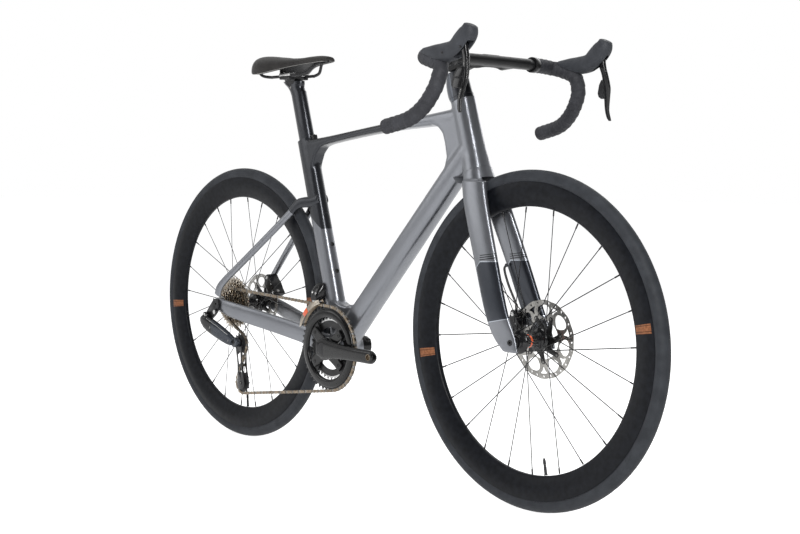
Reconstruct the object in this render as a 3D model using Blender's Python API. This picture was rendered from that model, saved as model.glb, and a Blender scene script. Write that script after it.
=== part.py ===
"""Road bike with disc brakes, built piece by piece at its real size.

Metres. +X points forward, +Y to the rider's left, +Z up.
The origin is on the ground, midway between the axles.
"""

import math

import bmesh
import bpy
from mathutils import Matrix, Vector

# Clearances
GAP = 0.0003
RUN = 0.0004

# Wheels and the layout of the frame
WHEEL_RADIUS = 0.340
WHEELBASE = 0.988
CHAINSTAY_LENGTH = 0.411
BB_DROP = 0.073
HEAD_ANGLE = math.radians(73.0)
SEAT_ANGLE = math.radians(73.15)
FORK_OFFSET = 0.045
SEAM_HEIGHT = 0.369
HEAD_TUBE_LENGTH = 0.151
SPACER_STACK = 0.0625
SEAT_TUBE_LENGTH = 0.5036

# Tyre and rim
TYRE_SECTION = 0.0145
CASING = 0.0018
RIM_EDGE = 0.317
RIM_DEPTH = 0.050
RIM_HALF_WIDTH = 0.0143
RIM_LIP = 0.0018
RIM_WELL = 0.007
WHEEL_STEPS = 36

# Hubs, spokes and axles
SPOKES = 24
FRONT_SPOKE_PHASE = math.radians(3.0)
REAR_SPOKE_PHASE = math.radians(12.5)
FRONT_VALVE_ANGLE = math.radians(-79.5)
REAR_VALVE_ANGLE = math.radians(-85.5)
VALVE_RADIUS = 0.0030
VALVE_LENGTH = 0.034
SPOKE_WIDTH = 0.0022
SPOKE_THICKNESS = 0.0012
SPOKE_CROSS = math.radians(60.0)
SPOKE_STAGGER = 0.0014
FLANGE_RADIUS = 0.024
FLANGE_THICKNESS = 0.0044
HUB_SIDES = 12
HUB_BARREL = 0.013
HUB_AXLE = 0.0085
THRU_AXLE = 0.006
END_CAP = 0.0115
FRONT_SPACING = 0.100
REAR_SPACING = 0.142
FRONT_FLANGES = (-0.032, 0.024)
REAR_FLANGES = (-0.0195, 0.034)
DROPOUT_THICKNESS = 0.008

# Disc brakes
ROTOR_THICKNESS = 0.0018
ROTOR_TRACK = 0.015
FRONT_ROTOR_RADIUS = 0.080
REAR_ROTOR_RADIUS = 0.070
FRONT_ROTOR_Y = 0.040
REAR_ROTOR_Y = 0.0557
ROTOR_ARMS = 7
ROTOR_SEAT = 0.0175
PAD_THICKNESS = 0.0019
PAD_AIR = 0.0005
PAD_LENGTH = 0.024
PAD_HEIGHT = 0.013
CALIPER_WIDTH = 0.032
CALIPER_DEPTH = 0.026
CALIPER_LENGTH = 0.060
HOSE_DIAMETER = 0.005

# Drivetrain
CHAIN_PITCH = 0.0127
CHAIN_LINE = 0.0455
BIG_RING_TEETH = 48
SMALL_RING_TEETH = 35
RING_SPACING = 0.007
COGS = (11, 12, 13, 14, 15, 17, 19, 21, 23, 25, 28, 32)
COG_IN_USE = 19
COG_PITCH = 0.0034
COG_THICKNESS = 0.0015
PULLEY_TEETH = 13
TOOTH_RISE = 0.0023
TOOTH_FALL = 0.0038
CHAIN_HALF_HEIGHT = 0.0041
CHAIN_HALF_GAP = 0.00115
CHAIN_HALF_WIDTH = 0.0023
CHAIN_WEB = 0.0008
GUIDE_PULLEY_AHEAD = 0.0540
GUIDE_PULLEY_DROP = 0.0980
TENSION_PULLEY_AHEAD = 0.0640
TENSION_PULLEY_DROP = 0.1940
CRANK_LENGTH = 0.1725
Q_FACTOR = 0.148
ARM_THICKNESS = 0.0145
SPINDLE_RADIUS = 0.012
PEDAL_EYE = 0.00715
BOLT_CIRCLE = 0.055
SPIDER_ANGLES = (38.0, 142.0, 218.0, 322.0)

# Frame tubes
SHELL_RADIUS = 0.031
SHELL_WIDTH = 0.068
BB_SIDES = 16
CUP_RADIUS = 0.0203
CUP_FLANGE = 0.0026
HEAD_TUBE_HALF_TOP = 0.0215
HEAD_TUBE_HALF_BOTTOM = 0.0265
DOWN_TUBE_HEIGHT = 0.0495
DOWN_TUBE_WIDTH = 0.054
SEAT_TUBE_CHORD = 0.0515
SEAT_TUBE_WIDTH = 0.0335
POST_CHORD = 0.045
POST_WIDTH = 0.0275
POST_INSERTION = 0.165
POST_EXPOSED = 0.1608
POST_STRAIGHT = 0.115
POST_RELIEF = 0.0002
SOCKET_DEPTH = 0.235
TYRE_CLEARANCE = 0.006
WHEEL_ROOM_STEPS = 60
STEERER_SIDES = 18
STEERER_RADIUS = 0.0143
UPPER_BEARING = 0.0185
LOWER_BEARING = 0.0215
BEARING_HEIGHT = 0.007

# Handlebar
BAR_RADIUS = 0.0125
TAPE_THICKNESS = 0.0031
TAPE_WRAPS = 14
BAR_SIDES = 8
BAR_HALF_WIDTH = 0.1940
STEM_WIDTH = 0.044
TOPS_CHORD = 0.040
TOPS_HEIGHT = 0.023
LEVER_REACH = 0.2178
LEVER_RISE = 0.0221
LEVER_SIDE = 0.1980
LEVER_WIDTH = 0.012

# Saddle
CLAMP_SETBACK = 0.0082
CRADLE_RADIUS = 0.022
CRADLE_SIDES = 36
RAIL_RADIUS = 0.0036
RAIL_SPACING = 0.044
SHELL_THICKNESS = 0.0025
PADDING = 0.009

# Places that follow from the sizes above
REAR_AXLE = Vector((-WHEELBASE / 2, 0, WHEEL_RADIUS))
FRONT_AXLE = Vector((WHEELBASE / 2, 0, WHEEL_RADIUS))
BB = Vector((REAR_AXLE.x + math.sqrt(CHAINSTAY_LENGTH ** 2 - BB_DROP ** 2), 0, WHEEL_RADIUS - BB_DROP))
STEER_AXIS = Vector((-math.cos(HEAD_ANGLE), 0, math.sin(HEAD_ANGLE)))
STEER_FRONT = Vector((math.sin(HEAD_ANGLE), 0, math.cos(HEAD_ANGLE)))
STEER_FOOT = FRONT_AXLE - STEER_FRONT * FORK_OFFSET
SEAT_AXIS = Vector((-math.cos(SEAT_ANGLE), 0, math.sin(SEAT_ANGLE)))
SEAT_FRONT = Vector((math.sin(SEAT_ANGLE), 0, math.cos(SEAT_ANGLE)))
SEAT_TOP = BB + SEAT_AXIS * SEAT_TUBE_LENGTH
HEAD_TOP = SEAM_HEIGHT + HEAD_TUBE_LENGTH
STACK_TOP = HEAD_TOP + SPACER_STACK
CLAMP_AT = SEAT_TOP + SEAT_AXIS * POST_EXPOSED - SEAT_FRONT * CLAMP_SETBACK
STAY_JOIN = SEAT_TOP - SEAT_AXIS * 0.150
CROWN = STEER_FOOT + STEER_AXIS * (SEAM_HEIGHT - 0.020)
HEAD_END = STEER_FOOT + STEER_AXIS * HEAD_TOP
BAR_AT = STEER_FOOT + STEER_AXIS * STACK_TOP
LEVER_PIVOT = (BAR_AT.x + LEVER_REACH, BAR_AT.z + LEVER_RISE)
GUIDE_PULLEY_AT = (REAR_AXLE.x + GUIDE_PULLEY_AHEAD, REAR_AXLE.z - GUIDE_PULLEY_DROP)
TENSION_PULLEY_AT = (REAR_AXLE.x + TENSION_PULLEY_AHEAD, REAR_AXLE.z - TENSION_PULLEY_DROP)
SIDE = Vector((0, 1, 0))
UP = Vector((0, 0, 1))
FORWARD = Vector((1, 0, 0))
RIGHT = -1
LEFT = 1

bodies = {}


def steer_point(height, front=0.0, side=0.0):
    """A point at a height along the steering axis, measured from the foot of the axle's perpendicular."""
    return STEER_FOOT + STEER_AXIS * height + STEER_FRONT * front + SIDE * side


def between(start, end, share, rise, side=0.0):
    """A point part of the way from one place to another, moved off that line in the frame's plane."""
    along = end - start
    off = Vector((-along.z, 0, along.x)).normalized()
    return start + along * share + off * rise + SIDE * side


def outline_at(place, outline):
    """An outline in x and z that is given from a place."""
    return [(place.x + x, place.z + z) for x, z in outline]


def pitch_radius(teeth):
    """The pitch circle of a sprocket for this chain."""
    return CHAIN_PITCH / (2 * math.sin(math.pi / teeth))


def clear_scene():
    for item in list(bpy.data.objects):
        bpy.data.objects.remove(item, do_unlink=True)


def material(name, colour, roughness, metallic=0.0):
    """A plain Principled material, made once for each name."""
    if name in bpy.data.materials:
        return bpy.data.materials[name]
    made = bpy.data.materials.new(name)
    made.use_nodes = True
    shader = made.node_tree.nodes["Principled BSDF"]
    shader.inputs["Base Color"].default_value = (*colour, 1.0)
    shader.inputs["Roughness"].default_value = roughness
    shader.inputs["Metallic"].default_value = metallic
    return made


def body(name, pivot, parent=None):
    """An empty on the joint's axis, which carries the pieces of one moving body."""
    empty = bpy.data.objects.new(name + "_pivot", None)
    bpy.context.collection.objects.link(empty)
    origin = Vector(pivot)
    if parent:
        empty.parent = bodies[parent][0]
        empty.location = origin - bodies[parent][1]
    else:
        empty.location = origin
    bodies[name] = (empty, origin)


def mesh_object(name, points, faces):
    """A plain object in world coordinates from points and faces."""
    mesh = bpy.data.meshes.new(name)
    mesh.from_pydata([tuple(p) for p in points], [], faces)
    build = bmesh.new()
    build.from_mesh(mesh)
    bmesh.ops.recalc_face_normals(build, faces=build.faces)
    build.to_mesh(mesh)
    build.free()
    made = bpy.data.objects.new(name, mesh)
    bpy.context.collection.objects.link(made)
    return made


def skin(name, rings, closed=False):
    """Joins rings of points with quads. An open skin gets a cap at each end."""
    size = len(rings[0])
    points = [p for ring in rings for p in ring]
    faces = []
    count = len(rings) if closed else len(rings) - 1
    for i in range(count):
        a = i * size
        b = ((i + 1) % len(rings)) * size
        for k in range(size):
            n = (k + 1) % size
            faces.append((a + k, a + n, b + n, b + k))
    if not closed:
        faces.append(tuple(range(size)))
        faces.append(tuple(range(len(points) - size, len(points))))
    return mesh_object(name, points, faces)


def section(centre, side, up, half_side, half_up, power=2.0, count=12):
    """Points round a superellipse, which is a circle or ellipse at power 2 and squarer above it."""
    ring = []
    for k in range(count):
        angle = 2 * math.pi * (k + 0.5) / count
        c = math.cos(angle)
        s = math.sin(angle)
        u = half_side * math.copysign(abs(c) ** (2 / power), c)
        v = half_up * math.copysign(abs(s) ** (2 / power), s)
        ring.append(Vector(centre) + Vector(side) * u + Vector(up) * v)
    return ring


def smooth_path(points, steps):
    """Points along a Catmull-Rom curve through the given points."""
    knots = [Vector(p) for p in points]
    ends = [knots[0] * 2 - knots[1]] + knots + [knots[-1] * 2 - knots[-2]]
    path = []
    for i in range(1, len(ends) - 2):
        p0, p1, p2, p3 = ends[i - 1:i + 3]
        for k in range(steps):
            t = k / steps
            path.append(0.5 * ((2 * p1) + (p2 - p0) * t + (2 * p0 - 5 * p1 + 4 * p2 - p3) * t * t
                               + (3 * p1 - p0 - 3 * p2 + p3) * t ** 3))
    path.append(knots[-1])
    return path


def tangents(path):
    """Unit directions along a path."""
    found = []
    for i in range(len(path)):
        before = path[max(i - 1, 0)]
        after = path[min(i + 1, len(path) - 1)]
        found.append((after - before).normalized())
    return found


def carried_frames(path, up):
    """Directions along a path, up from it and across it, carried along without twist."""
    found = []
    for along in tangents(path):
        across = along.cross(up).normalized()
        up = across.cross(along).normalized()
        found.append((along, up, across))
    return found


def across_axis(axis):
    """A unit axis and two directions across it, the first one in the plane of the frame."""
    along = Vector(axis).normalized()
    u = FORWARD if abs(along.y) > 0.5 else Vector((along.z, 0, -along.x))
    return along, u, along.cross(u)


def turned(name, profile, centre, axis, steps):
    """A solid of revolution from (distance along the axis, radius) pairs."""
    along, u, v = across_axis(axis)
    rings = [section(Vector(centre) + along * h, u, v, r, r, 2.0, steps) for h, r in profile]
    return skin(name, rings)


def turned_ring(name, profile, centre, axis, steps, phase=0.5):
    """A closed ring of revolution from the (radius, distance along the axis) corners of its section."""
    along, u, v = across_axis(axis)
    rings = []
    for k in range(steps):
        angle = 2 * math.pi * (k + phase) / steps
        out = u * math.cos(angle) + v * math.sin(angle)
        rings.append([Vector(centre) + out * r + along * h for r, h in profile])
    return skin(name, rings, closed=True)


def circle_loop(centre, radius, y, count):
    """A loop round the Y axis through a centre."""
    loop = []
    for k in range(count):
        angle = 2 * math.pi * (k + 0.5) / count
        loop.append(Vector((centre.x + radius * math.cos(angle), y, centre.z + radius * math.sin(angle))))
    return loop


def tooth_loop(centre, teeth, y):
    """A sprocket's edge, with a tip and a valley point for each tooth."""
    radius = pitch_radius(teeth)
    loop = circle_loop(centre, radius + TOOTH_RISE, y, 2 * teeth)
    low = circle_loop(centre, radius - TOOTH_FALL, y, 2 * teeth)
    return [low[k] if k % 2 else loop[k] for k in range(2 * teeth)]


def lathe_loops(name, loops):
    """Joins loops of any number of points, each to the next and the last to the first."""
    points = []
    starts = []
    for loop in loops:
        starts.append(len(points))
        points += loop
    faces = []
    for n, loop in enumerate(loops):
        a, m = starts[n], len(loop)
        b, other = starts[(n + 1) % len(loops)], len(loops[(n + 1) % len(loops)])
        i = j = 0
        while i < m or j < other:
            if j >= other or (i < m and (i + 1) * other <= (j + 1) * m):
                faces.append((a + i % m, a + (i + 1) % m, b + j % other))
                i += 1
            else:
                faces.append((a + i % m, b + (j + 1) % other, b + j % other))
                j += 1
    return mesh_object(name, points, faces)


def prism(name, outline, origin, u, v, depth):
    """An outline in the plane of u and v, pushed along depth."""
    base = [Vector(origin) + Vector(u) * a + Vector(v) * b for a, b in outline]
    return skin(name, [base, [p + Vector(depth) for p in base]])


def box(name, low, high):
    """A box between two corners."""
    outline = [(low[0], low[2]), (high[0], low[2]), (high[0], high[2]), (low[0], high[2])]
    return prism(name, outline, (0, low[1], 0), FORWARD, UP, SIDE * (high[1] - low[1]))


def combine(target, tool, operation):
    """Adds a tool to a target, or cuts it away, and removes the tool."""
    modifier = target.modifiers.new("combine", "BOOLEAN")
    modifier.operation = operation
    modifier.solver = "EXACT"
    modifier.object = tool
    shape = target.evaluated_get(bpy.context.evaluated_depsgraph_get())
    result = bpy.data.meshes.new_from_object(shape)
    target.modifiers.clear()
    old = target.data
    target.data = result
    bpy.data.meshes.remove(old)
    bpy.data.objects.remove(tool, do_unlink=True)
    return target


def join(target, *tools):
    for tool in tools:
        combine(target, tool, "UNION")
    return target


def cut(target, *tools):
    for tool in tools:
        combine(target, tool, "DIFFERENCE")
    return target


def finish(piece, name, carrier, look, sharp=35.0):
    """Names a finished piece, gives it its material and hangs it on its body's pivot."""
    empty, origin = bodies[carrier]
    piece.name = name
    piece.data.name = name
    tidy = bmesh.new()
    tidy.from_mesh(piece.data)
    bmesh.ops.remove_doubles(tidy, verts=tidy.verts, dist=0.000002)
    bmesh.ops.dissolve_degenerate(tidy, edges=tidy.edges, dist=0.000002)
    bmesh.ops.dissolve_limit(tidy, angle_limit=math.radians(0.2), verts=tidy.verts, edges=tidy.edges)
    tidy.to_mesh(piece.data)
    tidy.free()
    piece.data.transform(Matrix.Translation(-origin))
    piece.parent = empty
    piece.data.materials.clear()
    piece.data.materials.append(look)
    piece.data.shade_smooth()
    piece.data.set_sharp_from_angle(angle=math.radians(sharp))
    return piece


def looks():
    """The materials, with their colours as photographed."""
    return {
        "silver": material("silver_paint", (0.36, 0.37, 0.39), 0.35, 0.6),
        "dark": material("dark_paint", (0.075, 0.077, 0.085), 0.35, 0.5),
        "carbon": material("matte_carbon", (0.03, 0.03, 0.032), 0.45),
        "gloss": material("gloss_black", (0.012, 0.012, 0.014), 0.15),
        "rubber": material("hood_rubber", (0.045, 0.046, 0.05), 0.7),
        "tape": material("bar_tape", (0.04, 0.04, 0.043), 0.75),
        "tyre": material("tyre_rubber", (0.035, 0.038, 0.043), 0.75),
        "steel": material("brushed_steel", (0.42, 0.40, 0.37), 0.3, 1.0),
        "rotor": material("rotor_steel", (0.55, 0.55, 0.54), 0.3, 1.0),
        "black_metal": material("black_alloy", (0.02, 0.02, 0.022), 0.4, 0.5),
        "pad": material("brake_pad", (0.12, 0.10, 0.085), 0.8),
        "cover": material("saddle_cover", (0.05, 0.048, 0.05), 0.55),
    }


# Frame

def seat_section(height, half_chord, half_width, power, shift=0.0, count=16):
    centre = BB + SEAT_AXIS * height + SEAT_FRONT * shift
    return section(centre, SIDE, SEAT_FRONT, half_width, half_chord, power, count)


def seat_tube(extra=0.0):
    half_chord = SEAT_TUBE_CHORD / 2 + extra
    half_width = SEAT_TUBE_WIDTH / 2 + extra
    shift = -0.0012
    rings = [seat_section(0.012, half_chord, half_width + 0.006, 2.6, shift),
             seat_section(0.12, half_chord, half_width + 0.001, 2.6, shift),
             seat_section(0.30, half_chord, half_width, 2.6, shift),
             seat_section(SEAT_TUBE_LENGTH, half_chord, half_width, 2.6, shift)]
    return skin("seat_tube", rings)


def down_tube():
    bottom = BB + Vector((0.030, 0, 0.0430))
    top = steer_point(SEAM_HEIGHT + 0.0505)
    along = (top - bottom).normalized()
    up = along.cross(SIDE).normalized()
    up = up if up.z > 0 else -up
    half_h = DOWN_TUBE_HEIGHT / 2
    half_w = DOWN_TUBE_WIDTH / 2
    length = (top - bottom).length
    stations = [(-0.030, 1.05, 1.12), (0.10, 1.0, 1.05), (0.30, 1.0, 1.0), (length - 0.01, 0.98, 0.84)]
    rings = [section(bottom + along * s, SIDE, up, half_w * w, half_h * h, 3.0, 16) for s, h, w in stations]
    return skin("down_tube", rings)


TOP_TUBE = ((0.9739, -0.0337, 0.0195, 0.0200), (0.8392, -0.0275, 0.0140, 0.0195),
            (0.5099, -0.0187, 0.0094, 0.0185), (0.1843, -0.0161, 0.0097, 0.0168),
            (0.0066, -0.0167, 0.0148, 0.0165))


def top_tube():
    """The top tube from (share of the way forward, height off that line, half height, half width)."""
    rings = []
    for share, rise, high, half in TOP_TUBE:
        centre = SEAT_TOP.lerp(HEAD_END, share) + UP * rise
        rings.append(section(centre, SIDE, UP, half, high, 3.0, 12))
    return skin("top_tube", rings)


def head_tube():
    stations = [(SEAM_HEIGHT + GAP, HEAD_TUBE_HALF_BOTTOM, 0.025, 0.034),
                (SEAM_HEIGHT + 0.040, HEAD_TUBE_HALF_TOP + 0.001, 0.0225, 0.032),
                (HEAD_TOP, HEAD_TUBE_HALF_TOP, 0.0225, 0.032)]
    rings = []
    for height, half, front, rear in stations:
        centre = steer_point(height, (front - rear) / 2)
        rings.append(section(centre, SIDE, STEER_FRONT, half, (front + rear) / 2, 2.4, 16))
    return skin("head_tube", rings)


def web(name, outline, half):
    """A plate in the plane of the frame that fills the corner between two tubes."""
    return prism(name, outline, (0, -half, 0), FORWARD, UP, SIDE * 2 * half)


HEAD_WEB = ((-0.0839, -0.0491), (-0.0609, -0.0561), (-0.0469, -0.0691), (-0.0399, -0.0891),
            (-0.0339, -0.1181), (-0.0409, -0.1441), (0.0011, -0.1341), (0.0292, -0.0956),
            (-0.0069, -0.0381), (-0.0489, -0.0401))
SEAT_WEB = ((0.0305, -0.0890), (0.0405, -0.0590), (0.0505, -0.0350), (0.0675, -0.0180), (0.0975, -0.0095),
            (0.0855, 0.0010), (0.0205, -0.0050))
BOTTOM_WEB = ((-0.0285, 0.1050), (-0.0075, 0.1040), (0.0045, 0.0990), (0.0235, 0.0970), (0.0395, 0.1035),
              (0.0695, 0.0780), (0.0345, 0.0080), (-0.0205, 0.0080), (-0.0455, 0.0630))


def corner_webs():
    head = web("web", outline_at(HEAD_END, HEAD_WEB), HEAD_TUBE_HALF_TOP - 0.003)
    seat = web("web", outline_at(SEAT_TOP, SEAT_WEB), POST_WIDTH / 2 + 0.001)
    bottom = web("web", outline_at(BB, BOTTOM_WEB), SEAT_TUBE_WIDTH / 2)
    return head, seat, bottom


def wedge_outline(extra=0.0):
    """The clamping wedge, in front of the seatpost, in chord and height."""
    front = POST_CHORD / 2 + GAP
    return [(front - extra, -0.030 - extra), (front + 0.0075 + extra, -0.030 - extra),
            (front + 0.0095 + extra, -0.006), (front + 0.0095 + extra, 0.002), (front - extra, 0.002)]


def post_section(height, extra, half_chord=POST_CHORD / 2, half_width=POST_WIDTH / 2, shift=0.0):
    return seat_section(height, half_chord + extra, half_width + extra, 2.3, shift)


def front_triangle(look):
    frame = seat_tube()
    shell = turned("shell", [(-SHELL_WIDTH / 2, SHELL_RADIUS), (SHELL_WIDTH / 2, SHELL_RADIUS)], BB, SIDE, 20)
    join(frame, shell, down_tube(), top_tube(), head_tube(), *corner_webs())
    socket = skin("socket", [post_section(SEAT_TUBE_LENGTH - SOCKET_DEPTH, GAP),
                             post_section(SEAT_TUBE_LENGTH + 0.02, GAP)])
    half = 0.006 + GAP
    outline = [(a, min(b, 0.02) if b < 0.002 else 0.02) for a, b in wedge_outline(GAP)]
    pocket = prism("pocket", outline, SEAT_TOP - SIDE * half, SEAT_FRONT, SEAT_AXIS, SIDE * 2 * half)
    tyre = turned("tyre", [(-0.03, WHEEL_RADIUS + TYRE_CLEARANCE), (0.03, WHEEL_RADIUS + TYRE_CLEARANCE)],
                  REAR_AXLE, SIDE, WHEEL_ROOM_STEPS)
    bore = turned("bore", [(-0.05, CUP_RADIUS + GAP), (0.05, CUP_RADIUS + GAP)], BB, SIDE, BB_SIDES)
    room = STEERER_RADIUS + 0.0015
    steerer = turned("steerer", [(SEAM_HEIGHT - 0.02, room), (HEAD_TOP + 0.02, room)], STEER_FOOT, STEER_AXIS,
                     STEERER_SIDES)
    lower = turned("lower", [(SEAM_HEIGHT - 0.02, LOWER_BEARING + GAP),
                             (SEAM_HEIGHT + BEARING_HEIGHT + 2 * GAP, LOWER_BEARING + GAP)],
                   STEER_FOOT, STEER_AXIS, STEERER_SIDES)
    upper = turned("upper", [(HEAD_TOP - BEARING_HEIGHT - 2 * GAP, UPPER_BEARING + GAP),
                             (HEAD_TOP + 0.02, UPPER_BEARING + GAP)], STEER_FOOT, STEER_AXIS, STEERER_SIDES)
    crown_room = turned("crown_room", [(SEAM_HEIGHT - 0.10, 0.050), (SEAM_HEIGHT + GAP / 2, 0.050)],
                        STEER_FOOT, STEER_AXIS, STEERER_SIDES)
    cut(frame, crown_room, socket, pocket, tyre, bore, steerer, lower, upper)
    return finish(frame, "front_triangle", "frame", look["silver"])


def stay_path(start, stations, side):
    """The middle of a stay on one side, from its start to the rear axle."""
    return [between(start, REAR_AXLE, share, rise, side * y) for share, rise, y, _, _ in stations]


def stay(name, start, stations, side, extra=(0.0, 0.0), power=2.4):
    """A stay from (share of the way, distance off the line, y, half height, half width) stations."""
    path = stay_path(start, stations, side)
    rings = []
    for (_, _, _, high, wide), point, along in zip(stations, path, tangents(path)):
        up = along.cross(SIDE).normalized()
        up = up if up.z > 0 else -up
        across = up.cross(along).normalized()
        rings.append(section(point, across, up, wide + extra[1], high + extra[0], power, 10))
    return skin(name, rings)


DROPOUT_Y = REAR_SPACING / 2 + GAP + DROPOUT_THICKNESS / 2
CHAINSTAY = ((0.0313, -0.0010, 0.0228, 0.0224, 0.0088), (0.1495, -0.0001, 0.0240, 0.0225, 0.0062),
             (0.2951, 0.0006, 0.0278, 0.0218, 0.0060), (0.5199, 0.0010, 0.0430, 0.0213, 0.0062),
             (0.7667, 0.0020, 0.0640, 0.0205, 0.0058), (0.9027, 0.0019, DROPOUT_Y - 0.0015, 0.0185, 0.0050),
             (1.0368, 0.0007, DROPOUT_Y - 0.0006, 0.0130, DROPOUT_THICKNESS / 2 + 0.0004))
SEATSTAY = ((-0.0015, 0.0024, 0.0120, 0.0130, 0.0110), (0.0976, -0.0220, 0.0230, 0.0115, 0.0060),
            (0.1964, -0.0222, 0.0290, 0.0090, 0.0055), (0.4507, -0.0256, 0.0450, 0.0085, 0.0055),
            (0.7050, -0.0289, 0.0620, 0.0085, 0.0052), (0.8534, -0.0307, DROPOUT_Y - 0.003, 0.0090, 0.0045),
            (0.9306, -0.0287, DROPOUT_Y, 0.0110, DROPOUT_THICKNESS / 2),
            (0.9775, -0.0194, DROPOUT_Y, 0.0125, DROPOUT_THICKNESS / 2))


def axle_hole(radius):
    return turned("axle_hole", [(-0.12, radius), (0.12, radius)], REAR_AXLE, SIDE, 16)


def hub_room(axle, spacing):
    half = spacing / 2 + GAP
    return turned("hub_room", [(-half, 0.040), (half, 0.040)], axle, SIDE, 28)


def chainstays(look):
    right = stay("right", BB, CHAINSTAY, RIGHT)
    left = stay("left", BB, CHAINSTAY, LEFT)
    yoke = box("yoke", BB + Vector((-0.0475, -0.0195, -0.0110)), BB + Vector((-0.0110, 0.0195, 0.0200)))
    join(right, left, yoke)
    shell = turned("shell", [(-0.06, SHELL_RADIUS + 2 * GAP), (0.06, SHELL_RADIUS + 2 * GAP)], BB, SIDE, 28)
    tyre = turned("tyre", [(-0.020, WHEEL_RADIUS + TYRE_CLEARANCE), (0.020, WHEEL_RADIUS + TYRE_CLEARANCE)],
                  REAR_AXLE, SIDE, WHEEL_ROOM_STEPS)
    cut(right, hub_room(REAR_AXLE, REAR_SPACING), axle_hole(THRU_AXLE + GAP), tyre, seat_tube(GAP), shell)
    return finish(right, "chainstays", "frame", look["silver"])


def seatstays(look):
    right = stay("right", STAY_JOIN, SEATSTAY, RIGHT)
    left = stay("left", STAY_JOIN, SEATSTAY, LEFT)
    middle = between(STAY_JOIN, REAR_AXLE, 0.0898, -0.0225)
    bridge = skin("bridge", [section(middle + SIDE * y, FORWARD, UP, 0.0105, 0.0115, 2.6, 12)
                             for y in (-0.0225, 0.0225)])
    join(right, left, bridge)
    floor = outline_at(REAR_AXLE, [(-0.106, 0.021), (0.004, 0.0125), (0.094, 0.001), (0.094, -0.040),
                                   (-0.106, -0.040)])
    chain_stay = [stay("chain_stay", BB, CHAINSTAY, side, (GAP, 0.01)) for side in (RIGHT, LEFT)]
    base = prism("base", floor, (0, -0.1, 0), FORWARD, UP, SIDE * 0.2)
    cut(right, seat_tube(GAP), base, *chain_stay)
    return finish(right, "seatstays", "frame", look["dark"])


def seatpost_wedge(look):
    half = 0.006
    wedge = prism("wedge", wedge_outline(), SEAT_TOP - SIDE * half, SEAT_FRONT, SEAT_AXIS, SIDE * 2 * half)
    centre = SEAT_TOP + SEAT_FRONT * (POST_CHORD / 2 + GAP + 0.0048)
    head = turned("head", [(-0.004, 0.0032), (0.0035, 0.0032)], centre, SEAT_AXIS, 10)
    join(wedge, head)
    return finish(wedge, "seatpost_wedge", "frame", look["black_metal"])


def bottom_bracket(side, name, look):
    inner = SHELL_WIDTH / 2 - 0.012
    outer = SHELL_WIDTH / 2 + GAP
    profile = [(SPINDLE_RADIUS + RUN, inner), (CUP_RADIUS, inner), (CUP_RADIUS, outer),
               (CUP_RADIUS + 0.003, outer), (CUP_RADIUS + 0.003, outer + CUP_FLANGE),
               (SPINDLE_RADIUS + RUN, outer + CUP_FLANGE)]
    cup = turned_ring("cup", profile, BB, SIDE * side, BB_SIDES)
    return finish(cup, name, "frame", look["black_metal"])


def headset_bearing(name, low, radius, look):
    profile = [(STEERER_RADIUS + GAP, low), (radius - 0.001, low), (radius, low + 0.001),
               (radius, low + BEARING_HEIGHT), (STEERER_RADIUS + GAP, low + BEARING_HEIGHT)]
    ring = turned_ring("bearing", profile, STEER_FOOT, STEER_AXIS, STEERER_SIDES)
    return finish(ring, name, "frame", look["steel"])


# Fork and steering parts

FORK_TIP_Y = FRONT_SPACING / 2 + GAP + DROPOUT_THICKNESS / 2
FORK_LEG = ((0.0152, 0.0031, 0.0240, 0.0325, 0.0105), (0.1839, -0.0040, 0.0330, 0.0335, 0.0092),
            (0.5338, -0.0108, 0.0455, 0.0320, 0.0082), (0.7919, -0.0163, 0.0525, 0.0315, 0.0072),
            (0.9507, -0.0141, FORK_TIP_Y, 0.0310, DROPOUT_THICKNESS / 2),
            (1.0506, -0.0092, FORK_TIP_Y, 0.0200, DROPOUT_THICKNESS / 2))


def fork_leg(side, extra=0.0):
    """A leg from (share of the way to the axle, distance off that line, y, half depth, half thickness)."""
    rings = []
    for share, rise, y, chord, wide in FORK_LEG:
        centre = between(CROWN, FRONT_AXLE, share, rise, side * y)
        rings.append(section(centre, SIDE, FORWARD, wide + extra, chord + extra, 2.4, 10))
    return skin("leg", rings)


def fork(look):
    stations = [(SEAM_HEIGHT - GAP, HEAD_TUBE_HALF_BOTTOM, 0.0250, 0.0340),
                (SEAM_HEIGHT - 0.012, 0.031, 0.028, 0.038), (SEAM_HEIGHT - 0.045, 0.034, 0.030, 0.036)]
    rings = [section(steer_point(h, (front - rear) / 2), SIDE, STEER_FRONT, half, (front + rear) / 2, 2.4, 16)
             for h, half, front, rear in stations]
    crown = skin("crown", rings)
    steerer = turned("steerer", [(SEAM_HEIGHT - 0.015, STEERER_RADIUS), (STACK_TOP + 0.020, STEERER_RADIUS)],
                     STEER_FOOT, STEER_AXIS, STEERER_SIDES)
    join(crown, fork_leg(RIGHT), fork_leg(LEFT), steerer)
    reach = WHEEL_RADIUS + TYRE_CLEARANCE
    wheel_room = turned("wheel_room", [(-0.0205, reach), (0.0205, reach)], FRONT_AXLE, SIDE, WHEEL_ROOM_STEPS)
    hole = turned("hole", [(-0.1, THRU_AXLE + GAP), (0.1, THRU_AXLE + GAP)], FRONT_AXLE, SIDE, 16)
    cut(crown, wheel_room, hub_room(FRONT_AXLE, FRONT_SPACING), hole)
    return finish(crown, "fork", "steering", look["silver"])


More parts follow.
